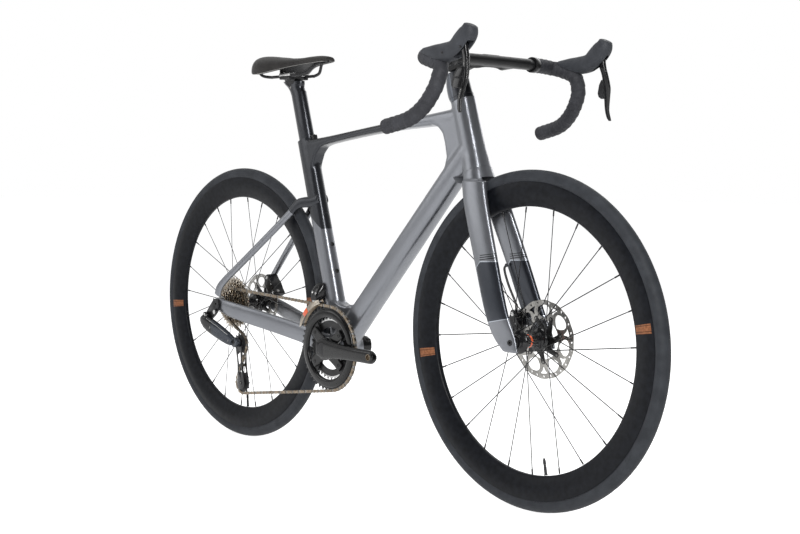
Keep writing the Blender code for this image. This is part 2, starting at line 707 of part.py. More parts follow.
def steerer_spacers(look):
    stations = [(HEAD_TOP + GAP, HEAD_TUBE_HALF_TOP, 0.0225, 0.0320),
                (HEAD_TOP + SPACER_STACK * 0.288, 0.0200, 0.0205, 0.0385),
                (HEAD_TOP + SPACER_STACK * 0.608, 0.0190, 0.0195, 0.0385),
                (STACK_TOP - GAP, 0.0185, 0.0190, 0.0310)]
    rings = [section(steer_point(h, (front - rear) / 2), SIDE, STEER_FRONT, half, (front + rear) / 2, 2.2, 16)
             for h, half, front, rear in stations]
    stack = skin("stack", rings)
    bore = turned("bore", [(HEAD_TOP - 0.01, STEERER_RADIUS + GAP), (STACK_TOP + 0.01, STEERER_RADIUS + GAP)],
                  STEER_FOOT, STEER_AXIS, STEERER_SIDES)
    cut(stack, bore)
    return finish(stack, "steerer_spacers", "steering", look["dark"])


TOPS = ((0.0953, 0.000, 0.0161), (0.0958, 0.045, 0.0161), (0.0968, 0.085, 0.0157), (0.0986, 0.113, 0.0153))
BAR_ROUTE = ((0.0989, 0.122, 0.0151), (0.0938, 0.157, 0.0146), (0.0938, 0.182, 0.0126),
             (0.1153, 0.193, 0.0066), (0.1493, 0.194, -0.0079), (0.1527, 0.202, -0.0339),
             (0.1447, 0.2065, -0.0569), (0.1223, 0.212, -0.0869), (0.0873, 0.218, -0.1094),
             (0.0284, 0.224, -0.1229))
ROUTE_HALF_WIDTH = 0.1940


def bar_line(side):
    """The bar's centre line from the middle to one end, with its directions."""
    scale = side * BAR_HALF_WIDTH / ROUTE_HALF_WIDTH
    tops = [BAR_AT + Vector((x, y * scale, z)) for x, y, z in TOPS]
    drop = smooth_path([BAR_AT + Vector((x, y * scale, z)) for x, y, z in BAR_ROUTE], 2)
    path = tops + drop
    return path, carried_frames(path, UP)


def bar_rings(side, extra=0.0):
    rings = []
    path, frames = bar_line(side)
    for i, (point, (_, up, across)) in enumerate(zip(path, frames)):
        wing = i < len(TOPS) - 1
        chord = TOPS_CHORD / 2 if wing else BAR_RADIUS
        high = TOPS_HEIGHT / 2 if wing else BAR_RADIUS
        rings.append(section(point, across, up, chord + extra, high + extra, 2.0, BAR_SIDES))
    return rings


def flip(point):
    return Vector((point.x, -point.y, point.z))


STEM = ((-0.0341, 0.0103), (0.0179, -0.0057), (0.0643, 0.0006), (0.0953, 0.0031), (0.1113, 0.0161),
        (0.0953, 0.0291), (0.0493, 0.0291), (-0.0021, 0.0306), (-0.0361, 0.0211))
FLARE = ((0.0313, 0.016), (0.0873, 0.016), (0.0873, 0.108), (0.0803, 0.078), (0.0613, 0.042))
FLARE_SLOT = ((0.0593, 0.026), (0.0673, 0.026), (0.0713, 0.042), (0.0663, 0.042))
FLARE_LOW = 0.0056
FLARE_HEIGHT = 0.0185


def flare(side):
    """The web that widens the stem into the bar on one side, with its slot."""
    plate = [(BAR_AT.x + x, side * y) for x, y in FLARE]
    slot = [(BAR_AT.x + x, side * y) for x, y in FLARE_SLOT]
    web_part = prism("flare", plate, (0, 0, BAR_AT.z + FLARE_LOW), FORWARD, SIDE, UP * FLARE_HEIGHT)
    return cut(web_part, prism("slot", slot, (0, 0, BAR_AT.z - 0.02), FORWARD, SIDE, UP * 0.06))


def cockpit(look):
    left = bar_rings(LEFT)
    right = [[flip(p) for p in ring] for ring in reversed(left[1:])]
    bar = skin("bar", right + left)
    stem = prism("stem", outline_at(BAR_AT, STEM), (0, -STEM_WIDTH / 2, 0), FORWARD, UP, SIDE * STEM_WIDTH)
    bevel = bmesh.new()
    bevel.from_mesh(stem.data)
    long_edges = [e for e in bevel.edges if abs(e.verts[0].co.y - e.verts[1].co.y) < 0.001]
    bmesh.ops.bevel(bevel, geom=long_edges, offset=0.006, segments=2, affect="EDGES", profile=0.6)
    bevel.to_mesh(stem.data)
    bevel.free()
    flares = [flare(side) for side in (RIGHT, LEFT)]
    join(bar, stem, *flares)
    room = STEERER_RADIUS + GAP
    base = turned("base", [(STACK_TOP - 0.06, 0.09), (STACK_TOP + GAP, 0.09)], STEER_FOOT, STEER_AXIS,
                  STEERER_SIDES)
    bore = turned("bore", [(STACK_TOP - 0.02, room), (STACK_TOP + 0.0205, room)], STEER_FOOT, STEER_AXIS,
                  STEERER_SIDES)
    cut(bar, base, bore)
    return finish(bar, "cockpit", "steering", look["carbon"])


def tape_rings(side, radius, step):
    """Rings round the taped part of the bar. Each turn of the strip ends in a small step down."""
    path, frames = bar_line(side)
    path = path[len(TOPS):]
    frames = frames[len(TOPS):]
    run = [0.0]
    for a, b in zip(path, path[1:]):
        run.append(run[-1] + (b - a).length)
    rings = []
    count = TAPE_WRAPS * 2
    for k in range(count + 1):
        s = run[-1] * k / count
        i = min(sum(1 for r in run if r <= s) - 1, len(path) - 2)
        t = (s - run[i]) / (run[i + 1] - run[i])
        point = path[i].lerp(path[i + 1], t)
        up = frames[i][1].lerp(frames[i + 1][1], t).normalized()
        across = frames[i][2].lerp(frames[i + 1][2], t).normalized()
        r = radius - (step if k % 2 else 0.0)
        rings.append(section(point, across, up, r, r, 2.0, BAR_SIDES))
    return rings


def bar_tape(side, name, look):
    outer = tape_rings(side, BAR_RADIUS + TAPE_THICKNESS, 0.0008)
    inner = bar_rings(side, 3 * GAP)[len(TOPS):]
    return finish(skin("tape", outer + inner[::-1], closed=True), name, "steering", look["tape"], 20.0)


def bar_end_plug(side, name, look):
    path, frames = bar_line(side)
    out = frames[-1][0]
    radius = BAR_RADIUS + TAPE_THICKNESS - 0.0008
    plug = turned("plug", [(GAP, radius), (0.0030, radius), (0.0045, radius * 0.8), (0.0050, radius * 0.4)],
                  path[-1], out, 12)
    return finish(plug, name, "steering", look["gloss"])


HOOD = ((0.1083, 0.0201, 0.0070, 0.0130), (0.1358, 0.0131, 0.0165, 0.0168), (0.1628, 0.0116, 0.0205, 0.0172),
        (0.1903, 0.0161, 0.0215, 0.0168), (0.2103, 0.0311, 0.0235, 0.0165), (0.2248, 0.0481, 0.0205, 0.0158),
        (0.2313, 0.0616, 0.0135, 0.0130))


def lever_slot(side):
    px, pz = LEVER_PIVOT
    half = LEVER_WIDTH / 2 + 0.001
    y = side * LEVER_SIDE
    return box("slot", (px - 0.022, y - half, pz - 0.06), (px + 0.06, y + half, pz + 0.0105))


def hood(side, name, look):
    path = [BAR_AT + Vector((x, side * (BAR_HALF_WIDTH + 0.0005), z)) for x, z, _, _ in HOOD]
    rings = []
    for (_, _, high, wide), point, along in zip(HOOD, path, tangents(path)):
        up = along.cross(SIDE).normalized()
        up = up if up.z > 0 else -up
        rings.append(section(point, SIDE, up, wide, high, 2.3, 12))
    shape = skin("hood", rings)
    tape = skin("tape", tape_rings(side, BAR_RADIUS + TAPE_THICKNESS + 3 * GAP, 0.0))
    px, pz = LEVER_PIVOT
    pivot = (px, side * LEVER_SIDE, pz)
    pin = turned("pin", [(-0.0125, 0.0022 + GAP), (0.0125, 0.0022 + GAP)], pivot, SIDE, 12)
    cut(shape, tape, lever_slot(side), pin)
    return finish(shape, name, "steering", look["rubber"])


LEVER = ((0.007, 0.000, 0.0080), (-0.010, 0.003, 0.0078), (-0.030, 0.008, 0.0072), (-0.055, 0.010, 0.0085),
         (-0.075, 0.008, 0.0070), (-0.100, 0.005, 0.0050), (-0.116, 0.007, 0.0045), (-0.123, 0.0100, 0.0030))
BLADE_TAPER = 0.0006
LEVER_SPLAY = 0.0185
SPLAY_FROM = -0.016


def lever_side(side, drop):
    """The blade's middle at a height below its pivot: it splays outward towards its tip."""
    share = max(0.0, (SPLAY_FROM - drop) / (SPLAY_FROM - LEVER[-1][0]))
    return side * (LEVER_SIDE + LEVER_SPLAY * share)


def brake_lever(side, name, look):
    px, pz = LEVER_PIVOT
    rings = [section((px + x, lever_side(side, z), pz + z), FORWARD, SIDE, chord,
                     LEVER_WIDTH / 2 - BLADE_TAPER * i, 2.6, 10) for i, (z, x, chord) in enumerate(LEVER)]
    blade = skin("blade", rings)
    pin = turned("pin", [(-0.0120, 0.0022), (0.0120, 0.0022)], (px, side * LEVER_SIDE, pz), SIDE, 12)
    join(blade, pin)
    return finish(blade, name, "lever_" + ("left" if side == LEFT else "right"), look["gloss"])


PADDLE_TOP = -0.036
PADDLE_LOW = -0.078
PADDLE_THICKNESS = 0.0022
PADDLE_HINGE_X = LEVER_PIVOT[0] + 0.0045
PADDLE_FRONT_X = LEVER_PIVOT[0] + 0.0095


def paddle_seat(drop):
    """How far out the paddle's inner face lies, just off the blade, at a height below the pivot."""
    for i in range(len(LEVER) - 1):
        high, low = LEVER[i][0], LEVER[i + 1][0]
        if high >= drop >= low:
            place = i + (high - drop) / (high - low)
            return abs(lever_side(LEFT, drop)) + LEVER_WIDTH / 2 - BLADE_TAPER * place + GAP
    return abs(lever_side(LEFT, drop)) + GAP


def paddle_plane(side):
    """The paddle's inner face at the height of the lever's pivot, and its direction along the blade."""
    slope = (paddle_seat(PADDLE_TOP) - paddle_seat(PADDLE_LOW)) / (PADDLE_TOP - PADDLE_LOW)
    root = paddle_seat(PADDLE_LOW) - slope * PADDLE_LOW
    return SIDE * side * root, UP + SIDE * side * slope


def paddle_hinge(side):
    root, along = paddle_plane(side)
    middle = (PADDLE_TOP + PADDLE_LOW) / 2
    line = Vector((PADDLE_HINGE_X, 0, LEVER_PIVOT[1])) + root
    return line + along * middle + SIDE * side * PADDLE_THICKNESS / 2


def shift_paddle(side, name, look):
    """A plate beside and behind the lever blade that rocks about a line near its front edge."""
    front = PADDLE_FRONT_X
    rear = LEVER_PIVOT[0]
    outline = [(front, PADDLE_TOP), (rear - 0.008, PADDLE_TOP - 0.002), (rear - 0.015, PADDLE_TOP - 0.012),
               (rear - 0.021, PADDLE_LOW + 0.012), (rear - 0.015, PADDLE_LOW + 0.002), (front, PADDLE_LOW)]
    root, along = paddle_plane(side)
    corner = root + UP * LEVER_PIVOT[1]
    plate = prism("paddle", outline, corner, FORWARD, along, SIDE * side * PADDLE_THICKNESS)
    return finish(plate, name, name, look["black_metal"])


# Brakes

def place_caliper(axle, rotor_radius, rotor_y, angle):
    """The middle of the pads, and the directions along the rotor and away from the axle."""
    out = Vector((math.cos(angle), 0, math.sin(angle)))
    along = Vector((-math.sin(angle), 0, math.cos(angle)))
    middle = axle + out * (rotor_radius - ROTOR_TRACK / 2) + SIDE * rotor_y
    return middle, out, along


FRONT_PADS = place_caliper(FRONT_AXLE, FRONT_ROTOR_RADIUS, FRONT_ROTOR_Y, math.radians(163.0))
REAR_PADS = place_caliper(REAR_AXLE, REAR_ROTOR_RADIUS, REAR_ROTOR_Y, math.radians(38.0))
SLOT_HALF = ROTOR_THICKNESS / 2 + PAD_AIR + PAD_THICKNESS + GAP


def caliper(name, pads, axle, rotor_radius, carrier, clear_of, look):
    middle, out, along = pads
    start = -ROTOR_TRACK / 2 - 0.001
    outline = [(start, -PAD_LENGTH / 2 - 0.004), (start, PAD_LENGTH / 2 + 0.004),
               (start + 0.010, CALIPER_LENGTH / 2), (start + CALIPER_DEPTH, CALIPER_LENGTH / 2),
               (start + CALIPER_DEPTH + 0.002, 0.0), (start + CALIPER_DEPTH, -CALIPER_LENGTH / 2),
               (start + 0.010, -CALIPER_LENGTH / 2)]
    block = prism("block", outline, middle - SIDE * CALIPER_WIDTH / 2, out, along, SIDE * CALIPER_WIDTH)
    slot = turned("slot", [(-SLOT_HALF, rotor_radius + 0.002), (SLOT_HALF, rotor_radius + 0.002)],
                  (axle.x, middle.y, axle.z), SIDE, 48)
    cut(block, slot, *clear_of)
    return finish(block, name, carrier, look["black_metal"])


def brake_pad(name, pads, side, carrier, look):
    middle, out, along = pads
    y = side * (ROTOR_THICKNESS / 2 + PAD_AIR)
    low = -PAD_HEIGHT / 2
    outline = [(low, -PAD_LENGTH / 2), (low, PAD_LENGTH / 2), (low + PAD_HEIGHT, PAD_LENGTH / 2 - 0.003),
               (low + PAD_HEIGHT, -PAD_LENGTH / 2 + 0.003)]
    plate = prism("pad", outline, middle + SIDE * y, out, along, SIDE * side * PAD_THICKNESS)
    return finish(plate, name, carrier, look["pad"])


def rotor(name, axle, radius, y, carrier, look):
    half = ROTOR_THICKNESS / 2
    centre = (axle.x, y, axle.z)
    track = [(radius - ROTOR_TRACK, -half), (radius, -half), (radius, half), (radius - ROTOR_TRACK, half)]
    ring = turned_ring("ring", track, centre, SIDE, 28)
    seat = ROTOR_SEAT + GAP
    hub = [(seat, -half), (seat + 0.008, -half), (seat + 0.008, half), (seat, half)]
    inner = turned_ring("inner", hub, centre, SIDE, HUB_SIDES)
    join(ring, inner)
    for k in range(ROTOR_ARMS):
        angle = 2 * math.pi * k / ROTOR_ARMS
        lean = angle + 0.5
        root = Vector((math.cos(angle), math.sin(angle))) * (seat + 0.005)
        tip = Vector((math.cos(lean), math.sin(lean))) * (radius - ROTOR_TRACK + 0.004)
        across = Vector((-(tip - root).y, (tip - root).x)).normalized()
        corners = [root + across * 0.0045, tip + across * 0.0030, tip - across * 0.0030,
                   root - across * 0.0045]
        join(ring, prism("arm", [(c.x, c.y) for c in corners], Vector(centre) - SIDE * (half - 0.0001),
                         FORWARD, UP, SIDE * 2 * (half - 0.0001)))
    return finish(ring, name, carrier, look["rotor"])


def front_hose(look):
    """The hose's open run, from the leg's inner face down to the caliper."""
    middle = FRONT_PADS[0]
    end = middle + FRONT_PADS[2] * (-CALIPER_LENGTH / 2 - 0.0012) + FRONT_PADS[1] * 0.010
    end.y = middle.y - 0.006
    start = FRONT_AXLE + Vector((-0.0980, 0.0330, 0.1450))
    route = [start, start + Vector((-0.004, -0.003, -0.010)),
             start.lerp(end, 0.45) + Vector((-0.006, -0.002, 0)), end + Vector((-0.003, 0, 0.014)), end]
    path = smooth_path(route, 4)
    hose = bpy.data.curves.new("hose", "CURVE")
    hose.dimensions = "3D"
    hose.bevel_depth = HOSE_DIAMETER / 2
    hose.bevel_resolution = 1
    hose.use_fill_caps = True
    line = hose.splines.new("POLY")
    line.points.add(len(path) - 1)
    for spot, point in zip(line.points, path):
        spot.co = (*(point - bodies["steering"][1]), 1.0)
    made = bpy.data.objects.new("front_hose", hose)
    bpy.context.collection.objects.link(made)
    made.parent = bodies["steering"][0]
    hose.materials.append(look["gloss"])
    return made


# Wheels

def tyre(name, axle, carrier, look):
    centre_radius = WHEEL_RADIUS - TYRE_SECTION
    seat = RIM_EDGE + GAP
    reach = math.acos((seat - centre_radius) / TYRE_SECTION)
    outer_arc = [(centre_radius + TYRE_SECTION * math.cos(a), TYRE_SECTION * math.sin(a))
                 for a in [reach * k / 4 for k in (-4, -2.6, -1.3, 0, 1.3, 2.6, 4)]]
    lip = RIM_HALF_WIDTH - RIM_LIP - 0.0006
    bead = RIM_EDGE - RIM_WELL + GAP
    beads = [(bead, lip), (bead, lip - 0.003)]
    section_points = (outer_arc + beads + [(centre_radius + TYRE_SECTION - CASING, 0.0)]
                      + [(r, -y) for r, y in reversed(beads)])
    ring = turned_ring("tyre", section_points, axle, SIDE, WHEEL_STEPS, 0.0)
    return finish(ring, name, carrier, look["tyre"])


def rim(name, axle, carrier, look):
    half = RIM_HALF_WIDTH
    well = RIM_EDGE - RIM_WELL
    tip = RIM_EDGE - RIM_DEPTH
    one_side = [(tip, 0.0045), (tip + 0.014, 0.0105), (RIM_EDGE - 0.015, half), (RIM_EDGE, half - RIM_LIP),
                (well, half - RIM_LIP - 0.0002)]
    profile = one_side + [(r, -y) for r, y in reversed(one_side)]
    ring = turned_ring("rim", profile, axle, SIDE, WHEEL_STEPS, 0.0)
    return finish(ring, name, carrier, look["carbon"])


def valve(name, axle, angle, carrier, look):
    """The tyre's valve stem, standing in on the rim's inner face and pointing at the hub."""
    out = Vector((math.cos(angle), 0, math.sin(angle)))
    top = SPOKE_END
    nut = VALVE_RADIUS + 0.0006
    profile = [(top, nut), (top - 0.0030, nut), (top - 0.0030, VALVE_RADIUS),
               (top - VALVE_LENGTH + 0.006, VALVE_RADIUS), (top - VALVE_LENGTH, VALVE_RADIUS * 0.6)]
    stem = turned("valve", profile, axle, out, 8)
    return finish(stem, name, carrier, look["black_metal"])


SPOKE_END = (RIM_EDGE - RIM_DEPTH) * math.cos(math.pi / WHEEL_STEPS) - GAP


def spoke(axle, index, flanges, phase):
    """A flat spoke from a flange, leaning forward or back in turn, to the rim."""
    side = index % 2
    lean = 1 if (index // 2) % 2 else -1
    rim_angle = 2 * math.pi * index / SPOKES + phase
    hub_angle = rim_angle + lean * SPOKE_CROSS
    y = flanges[side] + lean * SPOKE_STAGGER
    root = axle + Vector((math.cos(hub_angle), 0, math.sin(hub_angle))) * (FLANGE_RADIUS - 0.003) + SIDE * y
    tip = (axle + Vector((math.cos(rim_angle), 0, math.sin(rim_angle))) * SPOKE_END
           + SIDE * (0.0018 if side else -0.0018))
    along = (tip - root).normalized()
    across = along.cross(SIDE).normalized()
    flat = across.cross(along).normalized()
    rings = [section(p, across, flat, SPOKE_WIDTH / 2, SPOKE_THICKNESS / 2, 2.0, 4) for p in (root, tip)]
    return skin("spoke", rings)


def joined_plain(parts):
    """Several separate solids in one object, for one cut or union."""
    build = bmesh.new()
    for part in parts:
        build.from_mesh(part.data)
        bpy.data.objects.remove(part, do_unlink=True)
    mesh = bpy.data.meshes.new("parts")
    build.to_mesh(mesh)
    build.free()
    made = bpy.data.objects.new("parts", mesh)
    bpy.context.collection.objects.link(made)
    return made


def hub(name, axle, flanges, ends, rotor_y, phase, carrier, look):
    """A hub shell with its flanges, the rotor's seat and all the spokes."""
    bore = HUB_AXLE + RUN
    half = FLANGE_THICKNESS / 2
    right, left = flanges
    profile = [(bore, ends[0]), (HUB_BARREL + 0.001, ends[0]),
               (HUB_BARREL + 0.002, right - half),
               (FLANGE_RADIUS, right - half), (FLANGE_RADIUS, right + half),
               (HUB_BARREL, right + half + 0.004), (HUB_BARREL, left - half - 0.004),
               (FLANGE_RADIUS, left - half), (FLANGE_RADIUS, left + half),
               (ROTOR_SEAT, left + half + 0.001), (ROTOR_SEAT, rotor_y + 0.003), (END_CAP, rotor_y + 0.005),
               (END_CAP, ends[1]), (bore, ends[1])]
    shell = turned_ring("hub", profile, axle, SIDE, HUB_SIDES)
    join(shell, joined_plain([spoke(axle, i, flanges, phase) for i in range(SPOKES)]))
    return finish(shell, name, carrier, look["black_metal"])


def hub_axle(name, axle, spacing, hub_ends, outer_reach, carrier, look):
    """The fixed axle tube, its end caps and the thru-axle, which is screwed home through both dropouts."""
    half = spacing / 2
    low, high = hub_ends
    profile = [(-outer_reach, 0.0), (-outer_reach, THRU_AXLE), (-half, THRU_AXLE), (-half, END_CAP),
               (low - RUN, END_CAP), (low - RUN, HUB_AXLE), (high + RUN, HUB_AXLE), (high + RUN, END_CAP),
               (half, END_CAP), (half, THRU_AXLE), (outer_reach, THRU_AXLE)]
    solid = turned("axle", profile[1:], axle, SIDE, HUB_SIDES)
    socket = turned("socket", [(-outer_reach - 0.01, 0.003), (-outer_reach + 0.006, 0.003)], axle, SIDE, 6)
    cut(solid, socket)
    return finish(solid, name, carrier, look["black_metal"])


# Drivetrain

def gear_ring(name, teeth, inner, centre, half_thickness, sides):
    """A ring with a round hole whose sides slope to the ridge of its teeth."""
    low = centre.y - half_thickness
    high = centre.y + half_thickness
    root = pitch_radius(teeth) - TOOTH_FALL - 0.0010
    return lathe_loops(name, [circle_loop(centre, inner, low, sides), circle_loop(centre, root, low, sides),
                              tooth_loop(centre, teeth, centre.y), circle_loop(centre, root, high, sides),
                              circle_loop(centre, inner, high, sides)])


FREEHUB_RADIUS = 0.0160
FREEHUB_SIDES = 12
CASSETTE_WALL = 0.0016
FIRST_COG_Y = -CHAIN_LINE - COGS.index(COG_IN_USE) * COG_PITCH


def cassette(look):
    bore = FREEHUB_RADIUS + GAP
    wall = bore + CASSETTE_WALL
    last = FIRST_COG_Y + (len(COGS) - 1) * COG_PITCH + COG_THICKNESS / 2
    loops = [circle_loop(REAR_AXLE, bore, last, FREEHUB_SIDES),
             circle_loop(REAR_AXLE, bore, FIRST_COG_Y - 0.0022, FREEHUB_SIDES),
             circle_loop(REAR_AXLE, wall, FIRST_COG_Y - 0.0022, FREEHUB_SIDES)]
    for k, teeth in enumerate(COGS):
        low = FIRST_COG_Y + k * COG_PITCH - COG_THICKNESS / 2
        high = low + COG_THICKNESS
        loops += [circle_loop(REAR_AXLE, wall, low, FREEHUB_SIDES),
                  tooth_loop(REAR_AXLE, teeth, (low + high) / 2)]
        if k < len(COGS) - 1:
            loops.append(circle_loop(REAR_AXLE, wall, high, FREEHUB_SIDES))
    return finish(lathe_loops("cassette", loops), "cassette", "cassette", look["steel"])


def freehub(look):
    """The splined carrier that turns on the axle and holds the cassette."""
    low = FIRST_COG_Y - 0.0012
    high = REAR_FLANGES[0] - FLANGE_THICKNESS / 2 - 0.0018
    bore = HUB_AXLE + RUN
    profile = [(bore, low), (FREEHUB_RADIUS, low), (FREEHUB_RADIUS, high), (bore, high)]
    ring = turned_ring("freehub", profile, REAR_AXLE, SIDE, FREEHUB_SIDES)
    return finish(ring, "freehub_body", "cassette", look["black_metal"])


def tangent_points(c1, r1, s1, c2, r2, s2):
    """Where a chain running from one circle to the next leaves the first and meets the second.

    A sign of +1 is a circle that the chain passes clockwise, seen with x to the right and z up.
    """
    d = c2 - c1
    dist = d.length
    base = math.atan2(d.y, d.x)
    turn = math.acos((r1 * s1 - r2 * s2) / dist)
    normal = Vector((math.cos(base + turn), math.sin(base + turn)))
    return c1 + normal * r1 * s1, c2 + normal * r2 * s2


def chain_stops():
    """The circles that the chain runs round, in order along the chain: centre, radius, sign and arc steps."""
    ring = Vector((BB.x, BB.z))
    cog = Vector((REAR_AXLE.x, REAR_AXLE.z))
    pulley = pitch_radius(PULLEY_TEETH)
    return [(cog, pitch_radius(COG_IN_USE), 1, 8), (ring, pitch_radius(BIG_RING_TEETH), 1, 12),
            (Vector(TENSION_PULLEY_AT), pulley, 1, 5), (Vector(GUIDE_PULLEY_AT), pulley, -1, 5)]


def chain_stations():
    """Points along the chain, each with its outward direction and where the web sits across it."""
    stops = chain_stops()
    count = len(stops)
    joins = []
    for i in range(count):
        c1, r1, s1, _ = stops[i]
        c2, r2, s2, _ = stops[(i + 1) % count]
        joins.append(tangent_points(c1, r1, s1, c2, r2, s2))
    stations = []
    for i in range(count):
        centre, radius, sign, steps = stops[i]
        start = joins[i - 1][1] - centre
        end = joins[i][0] - centre
        a0 = math.atan2(start.y, start.x)
        a1 = math.atan2(end.y, end.x)
        if sign > 0:
            while a1 > a0:
                a1 -= 2 * math.pi
        else:
            while a1 < a0:
                a1 += 2 * math.pi
        for k in range(steps + 1):
            angle = a0 + (a1 - a0) * k / steps
            out = Vector((math.cos(angle), math.sin(angle)))
            stations.append((centre + out * radius, out * sign, sign))
        nxt = stops[(i + 1) % count]
        if nxt[2] != sign:
            p, q = joins[i]
            mid_out = Vector((-(q - p).y, (q - p).x)).normalized()
            for t, web_at in ((0.25, sign), (0.75, -sign)):
                stations.append((p.lerp(q, t), mid_out, web_at))
    return stations


def chain(look):
    """The chain as two rows of side plates joined by a web on the side away from each sprocket."""
    half = CHAIN_HALF_HEIGHT
    wide = CHAIN_HALF_WIDTH
    gap = CHAIN_HALF_GAP
    rings = []
    for point, out, web_at in chain_stations():
        middle = web_at * (half - CHAIN_WEB / 2 - 0.0001)
        high = middle + CHAIN_WEB / 2
        low = middle - CHAIN_WEB / 2
        outline = [(-wide, -half), (-gap, -half), (-gap, low), (gap, low), (gap, -half), (wide, -half),
                   (wide, half), (gap, half), (gap, high), (-gap, high), (-gap, half), (-wide, half)]
        centre = Vector((point.x, -CHAIN_LINE, point.y))
        outward = Vector((out.x, 0, out.y))
        rings.append([centre + SIDE * a + outward * b for a, b in outline])
    return finish(skin("chain", rings, closed=True), "chain", "frame", look["steel"])


def radial_tab(angle, low, high, half_low, half_high, y0, y1):
    """A tapering tab that points away from the bottom bracket."""
    a = math.radians(angle)
    out = Vector((math.cos(a), 0, math.sin(a)))
    across = Vector((-math.sin(a), 0, math.cos(a)))
    outline = [(low, -half_low), (high, -half_high), (high, half_high), (low, half_low)]
    return prism("tab", outline, BB + SIDE * y0, out, across, SIDE * (y1 - y0))


RING_Y = -CHAIN_LINE
INNER_RING_Y = RING_Y + RING_SPACING
RING_HALF = 0.0010
COVER = 0.0062
COVER_WIDTH = 0.0200
SPIDER_FACE = RING_Y - RING_HALF - GAP


def chainring_outer(look):
    centre = BB
    face = RING_Y - RING_HALF
    back = RING_Y + RING_HALF
    rim = pitch_radius(BIG_RING_TEETH) - TOOTH_FALL
    hole = rim - COVER_WIDTH
    cover = [(hole, back), (hole, RING_Y - 0.0030), (hole + 0.0045, RING_Y - COVER),
             (rim - 0.0070, RING_Y - COVER + 0.0004), (rim - 0.0026, face)]
    loops = [circle_loop(centre, r, y, 32) for r, y in cover]
    ring = lathe_loops("ring", loops + [tooth_loop(centre, BIG_RING_TEETH, RING_Y),
                                        circle_loop(centre, rim - 0.0010, back, 32)])
    for angle in SPIDER_ANGLES:
        join(ring, radial_tab(angle, BOLT_CIRCLE - 0.006, hole + 0.005, 0.0085, 0.0150,
                              face + 0.0001, back - 0.0001))
    return finish(ring, "chainring_outer", "crankset", look["gloss"])


def chainring_inner(look):
    centre = BB + SIDE * INNER_RING_Y
    ring = gear_ring("ring", SMALL_RING_TEETH, 0.0490, centre, RING_HALF, 22)
    reach = RING_Y + RING_HALF + GAP
    for angle in SPIDER_ANGLES:
        a = math.radians(angle)
        at = BB + Vector((math.cos(a), 0, math.sin(a))) * BOLT_CIRCLE
        join(ring, turned("boss", [(reach, 0.0050), (INNER_RING_Y, 0.0050)], at, SIDE, 8))
    return finish(ring, "chainring_inner", "crankset", look["black_metal"])


ARM = ((-0.020, 0.0170, 0.0), (0.000, 0.0230, 0.0), (0.030, 0.0200, 0.0015), (0.070, 0.0165, 0.0035),
       (0.130, 0.0150, 0.0060), (CRANK_LENGTH, 0.0150, 0.0070), (CRANK_LENGTH + 0.0105, 0.0120, 0.0070),
       (CRANK_LENGTH + 0.0150, 0.0060, 0.0070))
ARM_ROOT_Y = Q_FACTOR / 2 - ARM_THICKNESS / 2 - 0.0070


def crank_arm(side, forward):
    """An arm along +X or -X, leaning out from its root to the pedal eye."""
    rings = []
    for u, high, shift in ARM:
        centre = BB + FORWARD * forward * u + SIDE * side * (ARM_ROOT_Y + shift)
        rings.append(section(centre, SIDE, UP, ARM_THICKNESS / 2, high, 3.0, 10))
    arm = skin("arm", rings)
    eye = BB + FORWARD * forward * CRANK_LENGTH
    cut(arm, turned("eye", [(-0.1, PEDAL_EYE), (0.1, PEDAL_EYE)], eye, SIDE, 16))
    return arm


def crank_right(look):
    arm = crank_arm(RIGHT, 1)
    root = ARM_ROOT_Y
    boss = turned("boss", [(-root, 0.026), (SPIDER_FACE - 0.0005, 0.026)], BB, SIDE, 20)
    spindle = turned("spindle", [(-root, SPINDLE_RADIUS), (root + ARM_THICKNESS / 2 - 0.002, SPINDLE_RADIUS)],
                     BB, SIDE, BB_SIDES)
    neck = turned("neck", [(-root, 0.0175), (-SHELL_WIDTH / 2 - CUP_FLANGE - 3 * GAP, 0.0175)], BB, SIDE, 20)
    join(arm, boss, neck, spindle)
    for angle in SPIDER_ANGLES:
        join(arm, radial_tab(angle, 0.012, BOLT_CIRCLE + 0.007, 0.013, 0.0075,
                             SPIDER_FACE - 0.0055, SPIDER_FACE))
    return finish(arm, "crank_right", "crankset", look["gloss"])


def crank_left(look):
    arm = crank_arm(LEFT, -1)
    root = ARM_ROOT_Y
    low = SHELL_WIDTH / 2 + CUP_FLANGE + 3 * GAP
    face = root + ARM_THICKNESS / 2 - 0.001
    boss = turned("boss", [(low, 0.0190), (root, 0.0220), (face, 0.0220)], BB, SIDE, 20)
    join(arm, boss)
    bore = turned("bore", [(0.0, SPINDLE_RADIUS + GAP), (face, SPINDLE_RADIUS + GAP)], BB, SIDE, BB_SIDES)
    cut(arm, bore)
    return finish(arm, "crank_left", "crankset", look["gloss"])


def pulley(name, at, look):
    centre = Vector((at[0], -CHAIN_LINE, at[1]))
    ring = gear_ring("pulley", PULLEY_TEETH, 0.0036, centre, 0.0009, 12)
    return finish(ring, name, name, look["black_metal"])


CAGE_HALF = 0.0062
CAGE_PLATE = 0.0014


def cage_plate(side):
    top = Vector(GUIDE_PULLEY_AT)
    bottom = Vector(TENSION_PULLEY_AT)
    along = (bottom - top).normalized()
    across = Vector((-along.y, along.x))
    length = (bottom - top).length
    spots = [(-0.017, 0.004), (-0.010, 0.0125), (0.012, 0.0135), (length * 0.45, 0.0085),
             (length - 0.016, 0.0125), (length + 0.008, 0.0165), (length + 0.017, 0.0080)]
    outline = [top + along * s + across * w for s, w in spots]
    outline += [top + along * s - across * w for s, w in reversed(spots)]
    y = -CHAIN_LINE + side * CAGE_HALF
    return prism("plate", [(p.x, p.y) for p in outline], (0, y, 0), FORWARD, UP, SIDE * side * CAGE_PLATE)


